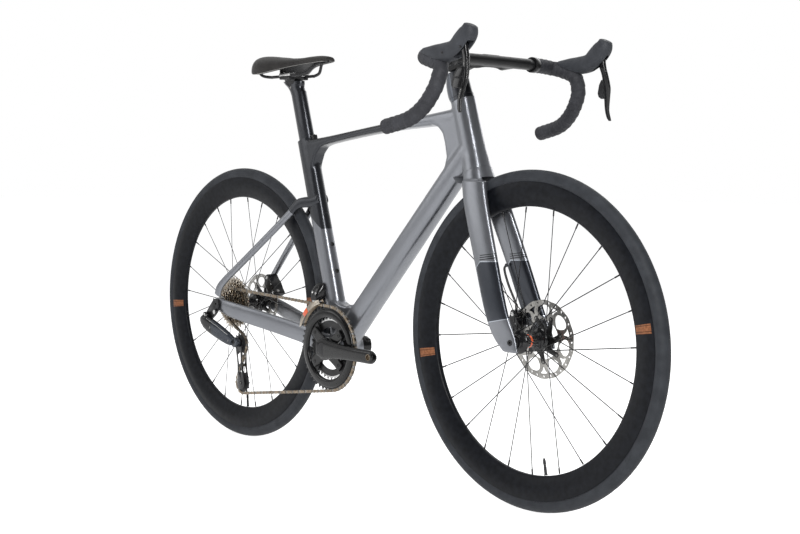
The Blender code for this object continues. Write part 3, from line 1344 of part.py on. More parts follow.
def rear_derailleur_cage(look):
    cage = cage_plate(RIGHT)
    pins = []
    for at in (GUIDE_PULLEY_AT, TENSION_PULLEY_AT):
        reach = CAGE_HALF + CAGE_PLATE + 0.001
        pins.append(turned("pin", [(-reach, 0.0031), (reach, 0.0031)], (at[0], -CHAIN_LINE, at[1]), SIDE, 8))
    join(cage, cage_plate(LEFT), *pins)
    return finish(cage, "rear_derailleur_cage", "frame", look["black_metal"])


HANGER_Y = -(DROPOUT_Y + DROPOUT_THICKNESS / 2 + GAP)
HANGER_BOLT = (REAR_AXLE.x - 0.0356, REAR_AXLE.z - 0.0323)
HANGER = ((0.0100, 0.0100), (0.0120, -0.0080), (-0.0030, -0.0270), (-0.0260, -0.0430), (-0.0420, -0.0425),
          (-0.0460, -0.0310), (-0.0400, -0.0220), (-0.0180, 0.0020), (-0.0060, 0.0120))
HOUSING = ((-0.0360, -0.0070, -0.0350, 0.0075, 0.0062), (-0.0330, -0.0078, -0.0500, 0.0115, 0.0076),
           (-0.0140, -0.0020, -0.0600, 0.0145, 0.0082), (0.0110, 0.0045, -0.0680, 0.0145, 0.0080),
           (0.0350, 0.0150, -0.0830, 0.0125, 0.0078), (0.0480, 0.0200, -0.0920, 0.0100, 0.0070))


def derailleur_hanger(look):
    plate = prism("hanger", outline_at(REAR_AXLE, HANGER), (0, HANGER_Y, 0), FORWARD, UP, SIDE * -0.0060)
    hole = turned("hole", [(-0.12, THRU_AXLE + GAP), (0.12, THRU_AXLE + GAP)], REAR_AXLE, SIDE, 16)
    bolt_at = (HANGER_BOLT[0], 0, HANGER_BOLT[1])
    bolt_hole = turned("bolt_hole", [(-0.12, 0.0045), (0.12, 0.0045)], bolt_at, SIDE, 12)
    cut(plate, hole, bolt_hole)
    return finish(plate, "derailleur_hanger", "frame", look["black_metal"])


def rear_derailleur_body(look):
    """The mounting knuckle with its bolt, the motor housing with the links, and the lower knuckle."""
    outer = HANGER_Y - 0.0060 - GAP
    at = (HANGER_BOLT[0], 0, HANGER_BOLT[1])
    steps = [(outer, 0.0100), (outer - 0.0085, 0.0100), (outer - 0.0100, 0.0080)]
    knuckle = turned("knuckle", steps, at, SIDE, 16)
    bolt = turned("bolt", [(outer - 0.006, 0.0041), (outer + 0.0055, 0.0041)], at, SIDE, 12)
    path = [Vector((REAR_AXLE.x + x, outer + y, REAR_AXLE.z + z)) for x, y, z, _, _ in HOUSING]
    rings = []
    for point, along, (_, _, _, high, wide) in zip(path, tangents(path), HOUSING):
        up = along.cross(SIDE).normalized()
        across = up.cross(along).normalized()
        rings.append(section(point, across, up, wide, high, 2.6, 10))
    housing = skin("housing", rings)
    face = -CHAIN_LINE - CAGE_HALF - CAGE_PLATE - 0.001 - GAP
    lower = turned("lower", [(face, 0.0125), (face - 0.0135, 0.0125)],
                   (GUIDE_PULLEY_AT[0] - 0.001, 0, GUIDE_PULLEY_AT[1] + 0.005), SIDE, 16)
    join(housing, knuckle, bolt, lower)
    low = REAR_AXLE + Vector((-0.066, face, -0.140))
    high = REAR_AXLE + Vector((0.074, 0.0, 0.020))
    cut(housing, box("inner_room", low, high))
    return finish(housing, "rear_derailleur_body", "frame", look["gloss"])


FD_HALF = 0.0058
FD_PLATE = 0.0012


def ring_point(angle, radius):
    a = math.radians(angle)
    return BB.x + radius * math.cos(a), BB.z + radius * math.sin(a)


def fd_plate(side):
    """A cage plate that follows the big ring's edge and narrows towards its tail."""
    tip = pitch_radius(BIG_RING_TEETH) + TOOTH_RISE
    inner = [ring_point(a, tip + 0.0050) for a in (104, 117, 130, 143, 155)]
    outer = [ring_point(a, tip + 0.0050 + rise)
             for a, rise in ((158, 0.006), (148, 0.0150), (134, 0.0180), (120, 0.0180), (106, 0.0150))]
    y = RING_Y + side * FD_HALF
    return prism("plate", inner + outer, (0, y, 0), FORWARD, UP, SIDE * side * FD_PLATE)


def front_derailleur_cage(look):
    cage = fd_plate(RIGHT)
    reach = FD_HALF + 0.0005
    tip = pitch_radius(BIG_RING_TEETH) + TOOTH_RISE
    x, z = ring_point(112, tip + 0.0190)
    bridge = box("bridge", (x - 0.012, RING_Y - reach, z - 0.0020), (x + 0.012, RING_Y + reach, z + 0.0015))
    x, z = ring_point(154, tip + 0.0092)
    tail = turned("tail", [(RING_Y - reach, 0.0024), (RING_Y + reach, 0.0024)], (x, 0, z), SIDE, 10)
    join(cage, fd_plate(LEFT), bridge, tail)
    return finish(cage, "front_derailleur_cage", "frame", look["steel"])


BRACKET = ((-0.0675, 0.0, 0.1090, 0.010, 0.0085), (-0.0675, 0.006, 0.1180, 0.014, 0.0155),
           (-0.0625, 0.015, 0.1260, 0.014, 0.0200), (-0.0565, 0.024, 0.1290, 0.011, 0.0160))


def front_derailleur_body(look):
    face = RING_Y + FD_HALF + FD_PLATE + GAP
    rings = [section((BB.x + x, face + y, BB.z + z), FORWARD, UP, long, high, 2.6, 10)
             for x, y, z, long, high in BRACKET]
    block = skin("block", rings)
    reach = WHEEL_RADIUS + 0.003
    tyre_room = turned("tyre_room", [(-0.017, reach), (0.017, reach)], REAR_AXLE, SIDE, 90)
    cut(block, seat_tube(GAP), tyre_room)
    return finish(block, "front_derailleur_body", "frame", look["black_metal"])


# Seatpost and saddle

def seatpost(look):
    head = CLAMP_AT
    rings = [post_section(SEAT_TUBE_LENGTH - POST_INSERTION, -POST_RELIEF),
             post_section(SEAT_TUBE_LENGTH + GAP, -POST_RELIEF), post_section(SEAT_TUBE_LENGTH + 0.001, 0.0),
             post_section(SEAT_TUBE_LENGTH + POST_STRAIGHT, 0.0)]
    flare_steps = ((0.0265, 0.0105, 0.0260), (0.0185, 0.0050, 0.0330), (0.0115, 0.0010, 0.0370))
    for drop, ahead, half_chord in flare_steps:
        centre = head - UP * drop + FORWARD * ahead
        rings.append(section(centre, SIDE, FORWARD, POST_WIDTH / 2, half_chord, 2.3, 16))
    post = skin("post", rings)
    trough = turned("trough", [(-0.03, CRADLE_RADIUS), (0.03, CRADLE_RADIUS)], head, SIDE, CRADLE_SIDES)
    hole = turned("hole", [(-0.03, 0.0035), (0.03, 0.0035)], head - UP * 0.0265 + FORWARD * 0.004, SIDE, 12)
    cut(post, trough, hole)
    return finish(post, "seatpost", "seatpost", look["dark"])


RAIL_TAIL_RISE = 0.028
RAIL_NOSE_RISE = 0.027


def rail_route():
    half = RAIL_SPACING / 2
    tail = RAIL_TAIL_RISE
    nose = RAIL_NOSE_RISE
    one = [(-0.099, half + 0.013, tail), (-0.094, half + 0.0105, tail * 0.42), (-0.084, half + 0.006, 0.0035),
           (-0.060, half, 0), (-0.010, half, 0), (0.028, half, 0), (0.052, half, 0),
           (0.076, half - 0.004, 0.0055), (0.092, half - 0.011, nose * 0.75), (0.100, 0.006, nose)]
    return [CLAMP_AT + Vector(p) for p in one] + [flip(CLAMP_AT + Vector(p)) for p in reversed(one)]


def saddle_rails(look):
    path = [Vector(p) for p in rail_route()]
    directions = tangents(path)
    rings = []
    for point, along in zip(path, directions):
        flat = Vector((along.x, along.y, 0)).normalized()
        across = Vector((-flat.y, flat.x, 0))
        up = along.cross(across).normalized()
        rings.append(section(point, across, up, RAIL_RADIUS, RAIL_RADIUS, 2.0, 8))
    return finish(skin("rails", rings), "saddle_rails", "saddle", look["carbon"])


def rail_room(radius):
    grooves = []
    for side in (RIGHT, LEFT):
        y = side * RAIL_SPACING / 2
        grooves.append(turned("groove", [(-0.11, radius), (0.14, radius)], CLAMP_AT + SIDE * y, FORWARD, 12))
    return grooves


CLAMP_HALF = 0.0215


def saddle_clamp_lower(look):
    head = CLAMP_AT
    half = RAIL_SPACING / 2 + RAIL_RADIUS + 0.003
    radius = CRADLE_RADIUS - GAP
    cradle = turned("cradle", [(-0.0125, radius), (0.0125, radius)], head, SIDE, CRADLE_SIDES)
    low = head - Vector((CLAMP_HALF, half, 0.0080))
    high = head + Vector((CLAMP_HALF, half, -GAP / 2))
    wings = box("wings", low, high)
    top = box("top", (head.x - 0.05, -0.05, head.z - GAP / 2), (head.x + 0.05, 0.05, head.z + 0.05))
    join(cradle, wings)
    cut(cradle, top, *rail_room(RAIL_RADIUS + GAP))
    return finish(cradle, "saddle_clamp_lower", "saddle_clamp", look["black_metal"])


def saddle_clamp_upper(look):
    head = CLAMP_AT
    half = RAIL_SPACING / 2 + RAIL_RADIUS + 0.003
    low = head + Vector((-CLAMP_HALF, -half, GAP / 2))
    high = head + Vector((CLAMP_HALF, half, 0.0075))
    plate = box("plate", low, high)
    bolt = turned("bolt", [(0.004, 0.0045), (0.0105, 0.0045)], head, UP, 12)
    join(plate, bolt)
    cut(plate, *rail_room(RAIL_RADIUS + GAP))
    return finish(plate, "saddle_clamp_upper", "saddle_clamp", look["black_metal"])


SADDLE = ((-0.106, 0.0440, 0.0505, 0.0175), (-0.091, 0.0600, 0.0525, 0.0095),
          (-0.068, 0.0700, 0.0520, 0.0050), (-0.038, 0.0690, 0.0490, 0.0065),
          (-0.008, 0.0570, 0.0450, 0.0125), (0.022, 0.0430, 0.0425, 0.0185),
          (0.052, 0.0320, 0.0420, 0.0230), (0.085, 0.0255, 0.0435, 0.0260),
          (0.118, 0.0215, 0.0430, 0.0280), (0.140, 0.0150, 0.0395, 0.0290))
CROWN_STEPS = 10


def saddle_arch(half, top, rim_z, inset):
    """Half widths and heights across the saddle, from one lower edge over the crown to the other."""
    wide = half - inset
    high = top - rim_z - inset
    points = []
    for k in range(CROWN_STEPS + 1):
        a = math.pi * k / CROWN_STEPS
        c = math.cos(a)
        s = math.sin(a)
        points.append((wide * math.copysign(abs(c) ** 0.8, c), rim_z + high * s ** 0.75))
    return points


def saddle_layer(name, outer_inset, inner_inset, stations):
    rings = []
    for x, half, top, rim_z in stations:
        over = saddle_arch(half, top, rim_z, outer_inset)
        under = saddle_arch(half, top, rim_z, inner_inset)
        ring = [CLAMP_AT + Vector((x, y, z)) for y, z in over]
        ring += [CLAMP_AT + Vector((x, y, z)) for y, z in reversed(under)]
        rings.append(ring)
    return skin(name, rings)


def saddle_pad(look):
    return finish(saddle_layer("pad", 0.0, PADDING, SADDLE), "saddle_pad", "saddle", look["cover"])


def saddle_shell(look):
    outer = PADDING + 2 * GAP
    shell = saddle_layer("shell", outer, outer + SHELL_THICKNESS, SADDLE[1:-1])
    return finish(shell, "saddle_shell", "saddle", look["carbon"])


# Assembly

def make_bodies():
    body("frame", (0, 0, 0))
    body("steering", STEER_FOOT, "frame")
    body("front_wheel", FRONT_AXLE, "steering")
    body("rear_wheel", REAR_AXLE, "frame")
    body("cassette", REAR_AXLE, "frame")
    body("crankset", BB, "frame")
    for name, at in (("guide_pulley", GUIDE_PULLEY_AT), ("tension_pulley", TENSION_PULLEY_AT)):
        body(name, (at[0], -CHAIN_LINE, at[1]), "frame")
    body("seatpost", SEAT_TOP, "frame")
    body("saddle_clamp", CLAMP_AT, "seatpost")
    body("saddle", CLAMP_AT, "saddle_clamp")
    for side, word in ((RIGHT, "right"), (LEFT, "left")):
        lever = "lever_" + word
        body(lever, (LEVER_PIVOT[0], side * LEVER_SIDE, LEVER_PIVOT[1]), "steering")
        body("shift_paddle_" + word, paddle_hinge(side), lever)
    for place, pads, carrier in (("front", FRONT_PADS, "steering"), ("rear", REAR_PADS, "frame")):
        for word in ("inner", "outer"):
            body(place + "_pad_" + word, pads[0], carrier)


def main():
    clear_scene()
    look = looks()
    make_bodies()

    front_triangle(look)
    chainstays(look)
    seatstays(look)
    seatpost_wedge(look)
    bottom_bracket(RIGHT, "bottom_bracket_right", look)
    bottom_bracket(LEFT, "bottom_bracket_left", look)
    headset_bearing("headset_bearing_lower", SEAM_HEIGHT + GAP, LOWER_BEARING, look)
    headset_bearing("headset_bearing_upper", HEAD_TOP - BEARING_HEIGHT - GAP, UPPER_BEARING, look)

    fork(look)
    steerer_spacers(look)
    cockpit(look)
    for side, word in ((RIGHT, "right"), (LEFT, "left")):
        bar_tape(side, "bar_tape_" + word, look)
        bar_end_plug(side, "bar_end_plug_" + word, look)
        hood(side, "hood_" + word, look)
        brake_lever(side, "brake_lever_" + word, look)
        shift_paddle(side, "shift_paddle_" + word, look)

    front_ends = (-0.0440, 0.0465)
    rear_ends = (-0.0268, 0.0620)
    tyre("front_tyre", FRONT_AXLE, "front_wheel", look)
    rim("front_rim", FRONT_AXLE, "front_wheel", look)
    hub("front_hub", FRONT_AXLE, FRONT_FLANGES, front_ends, FRONT_ROTOR_Y,
        FRONT_SPOKE_PHASE, "front_wheel", look)
    valve("front_valve", FRONT_AXLE, FRONT_VALVE_ANGLE, "front_wheel", look)
    valve("rear_valve", REAR_AXLE, REAR_VALVE_ANGLE, "rear_wheel", look)
    rotor("front_rotor", FRONT_AXLE, FRONT_ROTOR_RADIUS, FRONT_ROTOR_Y, "front_wheel", look)
    reach = FRONT_SPACING / 2 + DROPOUT_THICKNESS + 0.0006
    hub_axle("front_axle", FRONT_AXLE, FRONT_SPACING, front_ends, reach, "steering", look)
    tyre("rear_tyre", REAR_AXLE, "rear_wheel", look)
    rim("rear_rim", REAR_AXLE, "rear_wheel", look)
    hub("rear_hub", REAR_AXLE, REAR_FLANGES, (REAR_FLANGES[0] - FLANGE_THICKNESS / 2 - 0.0012, rear_ends[1]),
        REAR_ROTOR_Y, REAR_SPOKE_PHASE, "rear_wheel", look)
    rotor("rear_rotor", REAR_AXLE, REAR_ROTOR_RADIUS, REAR_ROTOR_Y, "rear_wheel", look)
    freehub_low = FIRST_COG_Y - 0.0012
    hub_axle("rear_axle", REAR_AXLE, REAR_SPACING, (freehub_low - RUN, rear_ends[1]),
             -HANGER_Y + 0.0060, "frame", look)

    front_leg = fork_leg(LEFT, 4 * GAP)
    caliper("front_caliper", FRONT_PADS, FRONT_AXLE, FRONT_ROTOR_RADIUS, "steering", [front_leg], look)
    room = (4 * GAP, 4 * GAP)
    left_stay = stay("left_stay", BB, CHAINSTAY, LEFT, room)
    left_seatstay = stay("left_seatstay", STAY_JOIN, SEATSTAY, LEFT, room)
    stays = [left_stay, left_seatstay]
    caliper("rear_caliper", REAR_PADS, REAR_AXLE, REAR_ROTOR_RADIUS, "frame", stays, look)
    for place, pads in (("front", FRONT_PADS), ("rear", REAR_PADS)):
        brake_pad(place + "_pad_inner", pads, RIGHT, place + "_pad_inner", look)
        brake_pad(place + "_pad_outer", pads, LEFT, place + "_pad_outer", look)
    front_hose(look)

    crank_right(look)
    crank_left(look)
    chainring_outer(look)
    chainring_inner(look)
    chain(look)
    freehub(look)
    cassette(look)
    pulley("guide_pulley", GUIDE_PULLEY_AT, look)
    pulley("tension_pulley", TENSION_PULLEY_AT, look)
    derailleur_hanger(look)
    rear_derailleur_body(look)
    rear_derailleur_cage(look)
    front_derailleur_body(look)
    front_derailleur_cage(look)

    seatpost(look)
    saddle_clamp_lower(look)
    saddle_clamp_upper(look)
    saddle_rails(look)
    saddle_shell(look)
    saddle_pad(look)


main()
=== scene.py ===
import math
from collections import namedtuple

import bmesh
import bpy
from mathutils import Matrix, Vector


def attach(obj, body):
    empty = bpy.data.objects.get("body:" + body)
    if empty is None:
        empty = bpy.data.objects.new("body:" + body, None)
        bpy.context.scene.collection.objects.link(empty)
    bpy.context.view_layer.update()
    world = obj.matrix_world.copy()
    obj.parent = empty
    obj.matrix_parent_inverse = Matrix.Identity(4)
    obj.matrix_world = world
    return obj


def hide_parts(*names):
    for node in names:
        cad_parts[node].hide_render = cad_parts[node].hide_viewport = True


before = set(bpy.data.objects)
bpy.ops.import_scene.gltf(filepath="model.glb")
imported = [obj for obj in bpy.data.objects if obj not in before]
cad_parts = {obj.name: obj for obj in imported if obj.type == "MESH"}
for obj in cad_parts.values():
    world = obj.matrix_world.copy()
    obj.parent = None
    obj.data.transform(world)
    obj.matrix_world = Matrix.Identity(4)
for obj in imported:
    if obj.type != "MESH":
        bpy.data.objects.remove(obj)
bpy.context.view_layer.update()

# Directions, places and sizes, in metres, as in the CAD model
SIDE, UP, FORWARD = Vector((0, 1, 0)), Vector((0, 0, 1)), Vector((1, 0, 0))
RIGHT, LEFT = -1, 1
GAP = 0.0003
REAR_AXLE = Vector((-0.494, 0, 0.340))
FRONT_AXLE = Vector((0.494, 0, 0.340))
BB = Vector((-0.0895349, 0, 0.267))
AXLE_HOLE = 0.0063
TYRE_ROOM = 0.346
HUB_ROOM = 0.040
SHELL_RADIUS = 0.0312
SEAT_CHORD = 0.0515
SEAT_TUBE_LENGTH = 0.5036
SEAM_HEIGHT = 0.369
HEAD_TOP = 0.520
STACK_TOP = 0.5825
STEERER_HOLE = 0.0146
BAR_RADIUS = 0.0125
LEVER_SIDE = 0.1980
DROPOUT_Y = 0.0753
HANGER_Y = -0.0796
CRANK = 0.1725
EYE_RADIUS = 0.0072
ARM_ROOT_Y = 0.05975
CHAIN_Y = -0.0455
INNER_RING_Y = -0.0385
SPIDER_FACE = -0.0468
SPIDER_ANGLES = (38.0, 142.0, 218.0, 322.0)
CHAIN_PITCH = 0.0127
BIG_RING, SMALL_RING, COG_IN_USE, PULLEY = 48, 35, 19, 13
COGS = (11, 12, 13, 14, 15, 17, 19, 21, 23, 25, 28, 32)
FIRST_COG_Y = -0.0659
COG_PITCH = 0.0034
GUIDE_AT = Vector((-0.4400, CHAIN_Y, 0.2420))
TENSION_AT = Vector((-0.4300, CHAIN_Y, 0.1460))
CAGE_HALF = 0.0062
RAIL_SIDE, RAIL_RADIUS = 0.022, 0.0036


def tilted(angle):
    """An axis that leans back by its angle to the floor, and the direction square to it."""
    axis = Vector((-math.cos(math.radians(angle)), 0, math.sin(math.radians(angle))))
    return axis, Vector((axis.z, 0, -axis.x))


STEER_AXIS, STEER_FRONT = tilted(73.0)
SEAT_AXIS, SEAT_FRONT = tilted(73.15)
STEER_FOOT = FRONT_AXLE - STEER_FRONT * 0.045
SEAT_TOP = BB + SEAT_AXIS * SEAT_TUBE_LENGTH
CLAMP_AT = SEAT_TOP + SEAT_AXIS * 0.1608 - SEAT_FRONT * 0.0082
STAY_JOIN = SEAT_TOP - SEAT_AXIS * 0.150
CROWN = STEER_FOOT + STEER_AXIS * 0.349
HEAD_END = STEER_FOOT + STEER_AXIS * HEAD_TOP
BAR_AT = STEER_FOOT + STEER_AXIS * STACK_TOP
PIVOT_X, PIVOT_Z = BAR_AT.x + 0.2178, BAR_AT.z + 0.0221


def steer_point(height, front=0.0, side=0.0):
    return STEER_FOOT + STEER_AXIS * height + STEER_FRONT * front + SIDE * side


def between(start, end, share, rise, side=0.0):
    along = end - start
    off = Vector((-along.z, 0, along.x)).normalized()
    return start + along * share + off * rise + SIDE * side


def polar(centre, angle, radius, y=None):
    """A point at an angle in degrees from +X and a radius, in the plane of the wheels."""
    a = math.radians(angle)
    return Vector((centre.x + radius * math.cos(a), centre.y if y is None else y,
                   centre.z + radius * math.sin(a)))


def directions(angle):
    """Outwards at an angle in degrees, and square to that."""
    return polar(Vector(), angle, 1.0), polar(Vector(), angle + 90, 1.0)


def pitch_radius(teeth):
    return CHAIN_PITCH / (2 * math.sin(math.pi / teeth))


def by_height(rows, height):
    """The row at a height between rows that start with theirs."""
    for a, b in zip(rows, rows[1:]):
        if a[0] <= height <= b[0]:
            t = (height - a[0]) / (b[0] - a[0])
            return [x + (y - x) * t for x, y in zip(a, b)]
    return rows[-1]


def smooth_step(rows, t):
    """Between the middle two of four rows of numbers, on a Catmull-Rom curve."""
    return [0.5 * (2 * b + (c - a) * t + (2 * a - 5 * b + 4 * c - d) * t * t
                   + (3 * b - a - 3 * c + d) * t ** 3) for a, b, c, d in zip(*rows)]


def smooth_rows(rows, steps):
    first = [2 * a - b for a, b in zip(rows[0], rows[1])]
    last = [2 * a - b for a, b in zip(rows[-1], rows[-2])]
    ends = [first, *rows, last]
    found = [smooth_step(ends[i:i + 4], k / steps) for i in range(len(rows) - 1) for k in range(steps)]
    return found + [list(rows[-1])]


def smooth_loop(outline, steps):
    size = len(outline)
    return [smooth_step([outline[(i + n) % size] for n in (-1, 0, 1, 2)], k / steps)
            for i in range(size) for k in range(steps)]


def smooth_path(points, steps):
    return [Vector(p) for p in smooth_rows([tuple(p) for p in points], steps)]


def tangents(path):
    return [(path[min(i + 1, len(path) - 1)] - path[max(i - 1, 0)]).normalized() for i in range(len(path))]


def carried_frames(path, up):
    """Directions along, up and across at each point of a path, without a twist."""
    found = []
    for along in tangents(path):
        across = along.cross(up).normalized()
        up = across.cross(along).normalized()
        found.append((along, up, across))
    return found


def square_up(along):
    up = along.cross(SIDE).normalized()
    return up if up.z > 0 else -up


def running_length(path):
    run = [0.0]
    for a, b in zip(path, path[1:]):
        run.append(run[-1] + (b - a).length)
    return run


# Shapes are pairs of points and faces

def skin(rings, closed=False):
    size = len(rings[0])
    points = [Vector(p) for ring in rings for p in ring]
    faces = []
    for i in range(len(rings) if closed else len(rings) - 1):
        a = i * size
        b = ((i + 1) % len(rings)) * size
        for k in range(size):
            n = (k + 1) % size
            faces.append((a + k, a + n, b + n, b + k))
    if not closed:
        faces.append(tuple(range(size)))
        faces.append(tuple(range(len(points) - size, len(points))))
    return points, faces


def together(*shapes):
    points, faces = [], []
    for more, sides in shapes:
        start = len(points)
        points += more
        faces += [tuple(i + start for i in face) for face in sides]
    return points, faces


def section(centre, side, up, half_side, half_up, power=2.0, count=40):
    """A ring of points, round at power 2 and nearer to a rounded box at higher powers."""
    ring = []
    for k in range(count):
        angle = 2 * math.pi * (k + 0.5) / count
        c, s = math.cos(angle), math.sin(angle)
        u = half_side * math.copysign(abs(c) ** (2 / power), c)
        v = half_up * math.copysign(abs(s) ** (2 / power), s)
        ring.append(Vector(centre) + Vector(side) * u + Vector(up) * v)
    return ring


def tube(path, radius, count=16, up=UP):
    return skin([section(p, across, high, radius, radius, 2.0, count)
                 for p, (_, high, across) in zip(path, carried_frames(path, Vector(up)))])


def axis_frame(axis):
    along = Vector(axis).normalized()
    u = FORWARD if abs(along.y) > 0.5 else Vector((along.z, 0, -along.x))
    u = (u - along * u.dot(along)).normalized()
    return along, u, along.cross(u)


def turned(profile, centre, axis=SIDE, count=48):
    """A solid of revolution from (distance along the axis, radius) pairs."""
    along, u, v = axis_frame(axis)
    return skin([section(Vector(centre) + along * h, u, v, r, r, 2.0, count) for h, r in profile])


def barrel(centre, half, radius, count=48, axis=SIDE):
    return turned([(-half, radius), (half, radius)], centre, axis, count)


def along_steer(low, high, radius, count=64):
    return turned([(low, radius), (high, radius)], STEER_FOOT, STEER_AXIS, count)


def turned_ring(profile, centre, count=96, phase=0.5, wave=None, axis=SIDE):
    """A closed ring of revolution from the (radius, distance) corners of its section."""
    along, u, v = axis_frame(axis)
    rings = []
    for k in range(count):
        angle = 2 * math.pi * (k + phase) / count
        out = u * math.cos(angle) + v * math.sin(angle)
        rings.append([Vector(centre) + out * (r + (wave(angle, r) if wave else 0.0)) + along * h
                      for r, h in profile])
    return skin(rings, closed=True)


def prism(outline, origin, u, v, depth):
    base = [Vector(origin) + Vector(u) * a + Vector(v) * b for a, b in outline]
    return skin([base, [p + Vector(depth) for p in base]])


def plate(outline, y, depth, origin=None):
    """A plate from an outline in x and z, from a place across the bike."""
    at = [(origin.x + x, origin.z + z) for x, z in outline] if origin is not None else outline
    return prism(at, (0, y, 0), FORWARD, UP, SIDE * depth)


def box(low, high, at=Vector()):
    low, high = at + Vector(low), at + Vector(high)
    outline = [(low.x, low.z), (high.x, low.z), (high.x, high.z), (low.x, high.z)]
    return plate(outline, low.y, high.y - low.y)


def rod(start, end, radius, count=20, edge=0.0004):
    """A round pin between two points, with its edges broken."""
    length = (Vector(end) - Vector(start)).length
    edge = min(edge, length / 4, radius / 3)
    steps = [(0, radius - edge), (edge, radius), (length - edge, radius), (length, radius - edge)]
    return turned(steps, start, Vector(end) - Vector(start), count)


def cross_pin(centre, half, radius, count=20):
    return rod(centre - SIDE * half, centre + SIDE * half, radius, count)


def bolt(at, out, radius=0.004, height=0.003, socket=0.5):
    """A bolt head with a hexagonal socket."""
    along, u, v = axis_frame(out)
    rings = [section(Vector(at) + along * h, u, v, r, r, 2.0, 24)
             for h, r in ((0, radius), (height * 0.75, radius), (height, radius * 0.85))]
    hexed = []
    for k in range(24):
        a = 2 * math.pi * (k + 0.5) / 24
        nearest = round(a / (math.pi / 3)) * math.pi / 3
        r = radius * socket / max(0.5, math.cos(a - nearest))
        hexed.append(Vector(at) + along * height + u * r * math.cos(a) + v * r * math.sin(a))
    return skin(rings + [hexed, [p - along * height * 0.7 for p in hexed]])


# Objects

def mesh_object(name, shape, looks=(), marks=()):
    mesh = bpy.data.meshes.new(name)
    mesh.from_pydata([tuple(p) for p in shape[0]], [], shape[1])
    for look in looks:
        mesh.materials.append(look)
    if looks:
        mesh.polygons.foreach_set("material_index", marks)
    build = bmesh.new()
    build.from_mesh(mesh)
    bmesh.ops.recalc_face_normals(build, faces=build.faces)
    build.to_mesh(mesh)
    build.free()
    made = bpy.data.objects.new(name, mesh)
    bpy.context.collection.objects.link(made)
    return made


def bake(item):
    """Turns the modifiers of an object into plain mesh."""
    bpy.context.view_layer.update()
    shape = item.evaluated_get(bpy.context.evaluated_depsgraph_get())
    result = bpy.data.meshes.new_from_object(shape)
    item.modifiers.clear()
    old = item.data
    item.data = result
    bpy.data.meshes.remove(old)


def cut(item, *shapes):
    """Cuts shapes away from an object, with clean edges."""
    for shape in shapes:
        tool = mesh_object("tool", shape)
        modifier = item.modifiers.new("cut", "BOOLEAN")
        modifier.operation = "DIFFERENCE"
        modifier.solver = "MANIFOLD"
        modifier.object = tool
        bake(item)
        bpy.data.objects.remove(tool, do_unlink=True)
    return item


def moulded(shapes, voxel, rounds, *cuts):
    """One continuous moulded surface from overlapping closed shapes, then cut."""
    item = mesh_object("moulded", together(*shapes))
    skin_over = item.modifiers.new("skin", "REMESH")
    skin_over.mode = "VOXEL"
    skin_over.voxel_size = voxel
    soften = item.modifiers.new("soften", "SMOOTH")
    soften.factor = 0.5
    soften.iterations = rounds
    bake(item)
    return cut(item, *cuts)


def dress(item, name, look, body, nodes=(), bevel=0.0, sharp=35.0):
    """Names a finished object, gives it its material and hangs it on its body."""
    item.name = name
    if bevel:
        edge = item.modifiers.new("edge", "BEVEL")
        edge.width = bevel
        edge.segments = 2
        edge.limit_method = "ANGLE"
        edge.angle_limit = math.radians(40.0)
        edge.use_clamp_overlap = True
        bake(item)
    item.data.name = name
    if look is not None:
        item.data.materials.clear()
        item.data.materials.append(look)
    item.data.shade_smooth()
    item.data.set_sharp_from_angle(angle=math.radians(sharp))
    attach(item, body)
    if nodes:
        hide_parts(*nodes)


def piece(name, parts, body, nodes=(), bevel=0.0, sharp=35.0):
    """An object from (shape, material) pairs."""
    looks = []
    for _, look in parts:
        if look not in looks:
            looks.append(look)
    marks = [looks.index(look) for shape, look in parts for _ in shape[1]]
    item = mesh_object(name, together(*[shape for shape, _ in parts]), looks, marks)
    dress(item, name, None, body, nodes, bevel, sharp)


# Materials

class Nodes:
    """Adds nodes to one tree."""

    def __init__(self, tree):
        self.tree = tree

    def node(self, kind, **settings):
        made = self.tree.nodes.new(kind)
        for key, value in settings.items():
            setattr(made, key, value)
        return made

    def put(self, socket, value):
        if isinstance(value, bpy.types.NodeSocket):
            self.tree.links.new(value, socket)
        elif value is not None:
            socket.default_value = value

    def made(self, kind, inputs, output=0, **settings):
        """The output of a new node whose inputs are set or linked."""
        new = self.node(kind, **settings)
        for key, value in inputs.items():
            self.put(new.inputs[key], value)
        return new.outputs[output]

    def math(self, operation, a, b=None, clamp=False):
        return self.made("ShaderNodeMath", {0: a, 1: b}, operation=operation, use_clamp=clamp)

    def any(self, *masks):
        found = masks[0]
        for mask in masks[1:]:
            found = self.math("MAXIMUM", found, mask)
        return found

    def spread(self, share, low, high, from_low=0.3, from_high=0.7):
        return self.made("ShaderNodeMapRange", {"Value": share, "From Min": from_low, "From Max": from_high,
                                                "To Min": low, "To Max": high})

    def shows_backdrop(self):
        """1 for rays from the camera, in gloss and through glass."""
        rays = self.node("ShaderNodeLightPath").outputs
        return self.any(*[rays["Is %s Ray" % kind] for kind in ("Camera", "Glossy", "Transmission")])


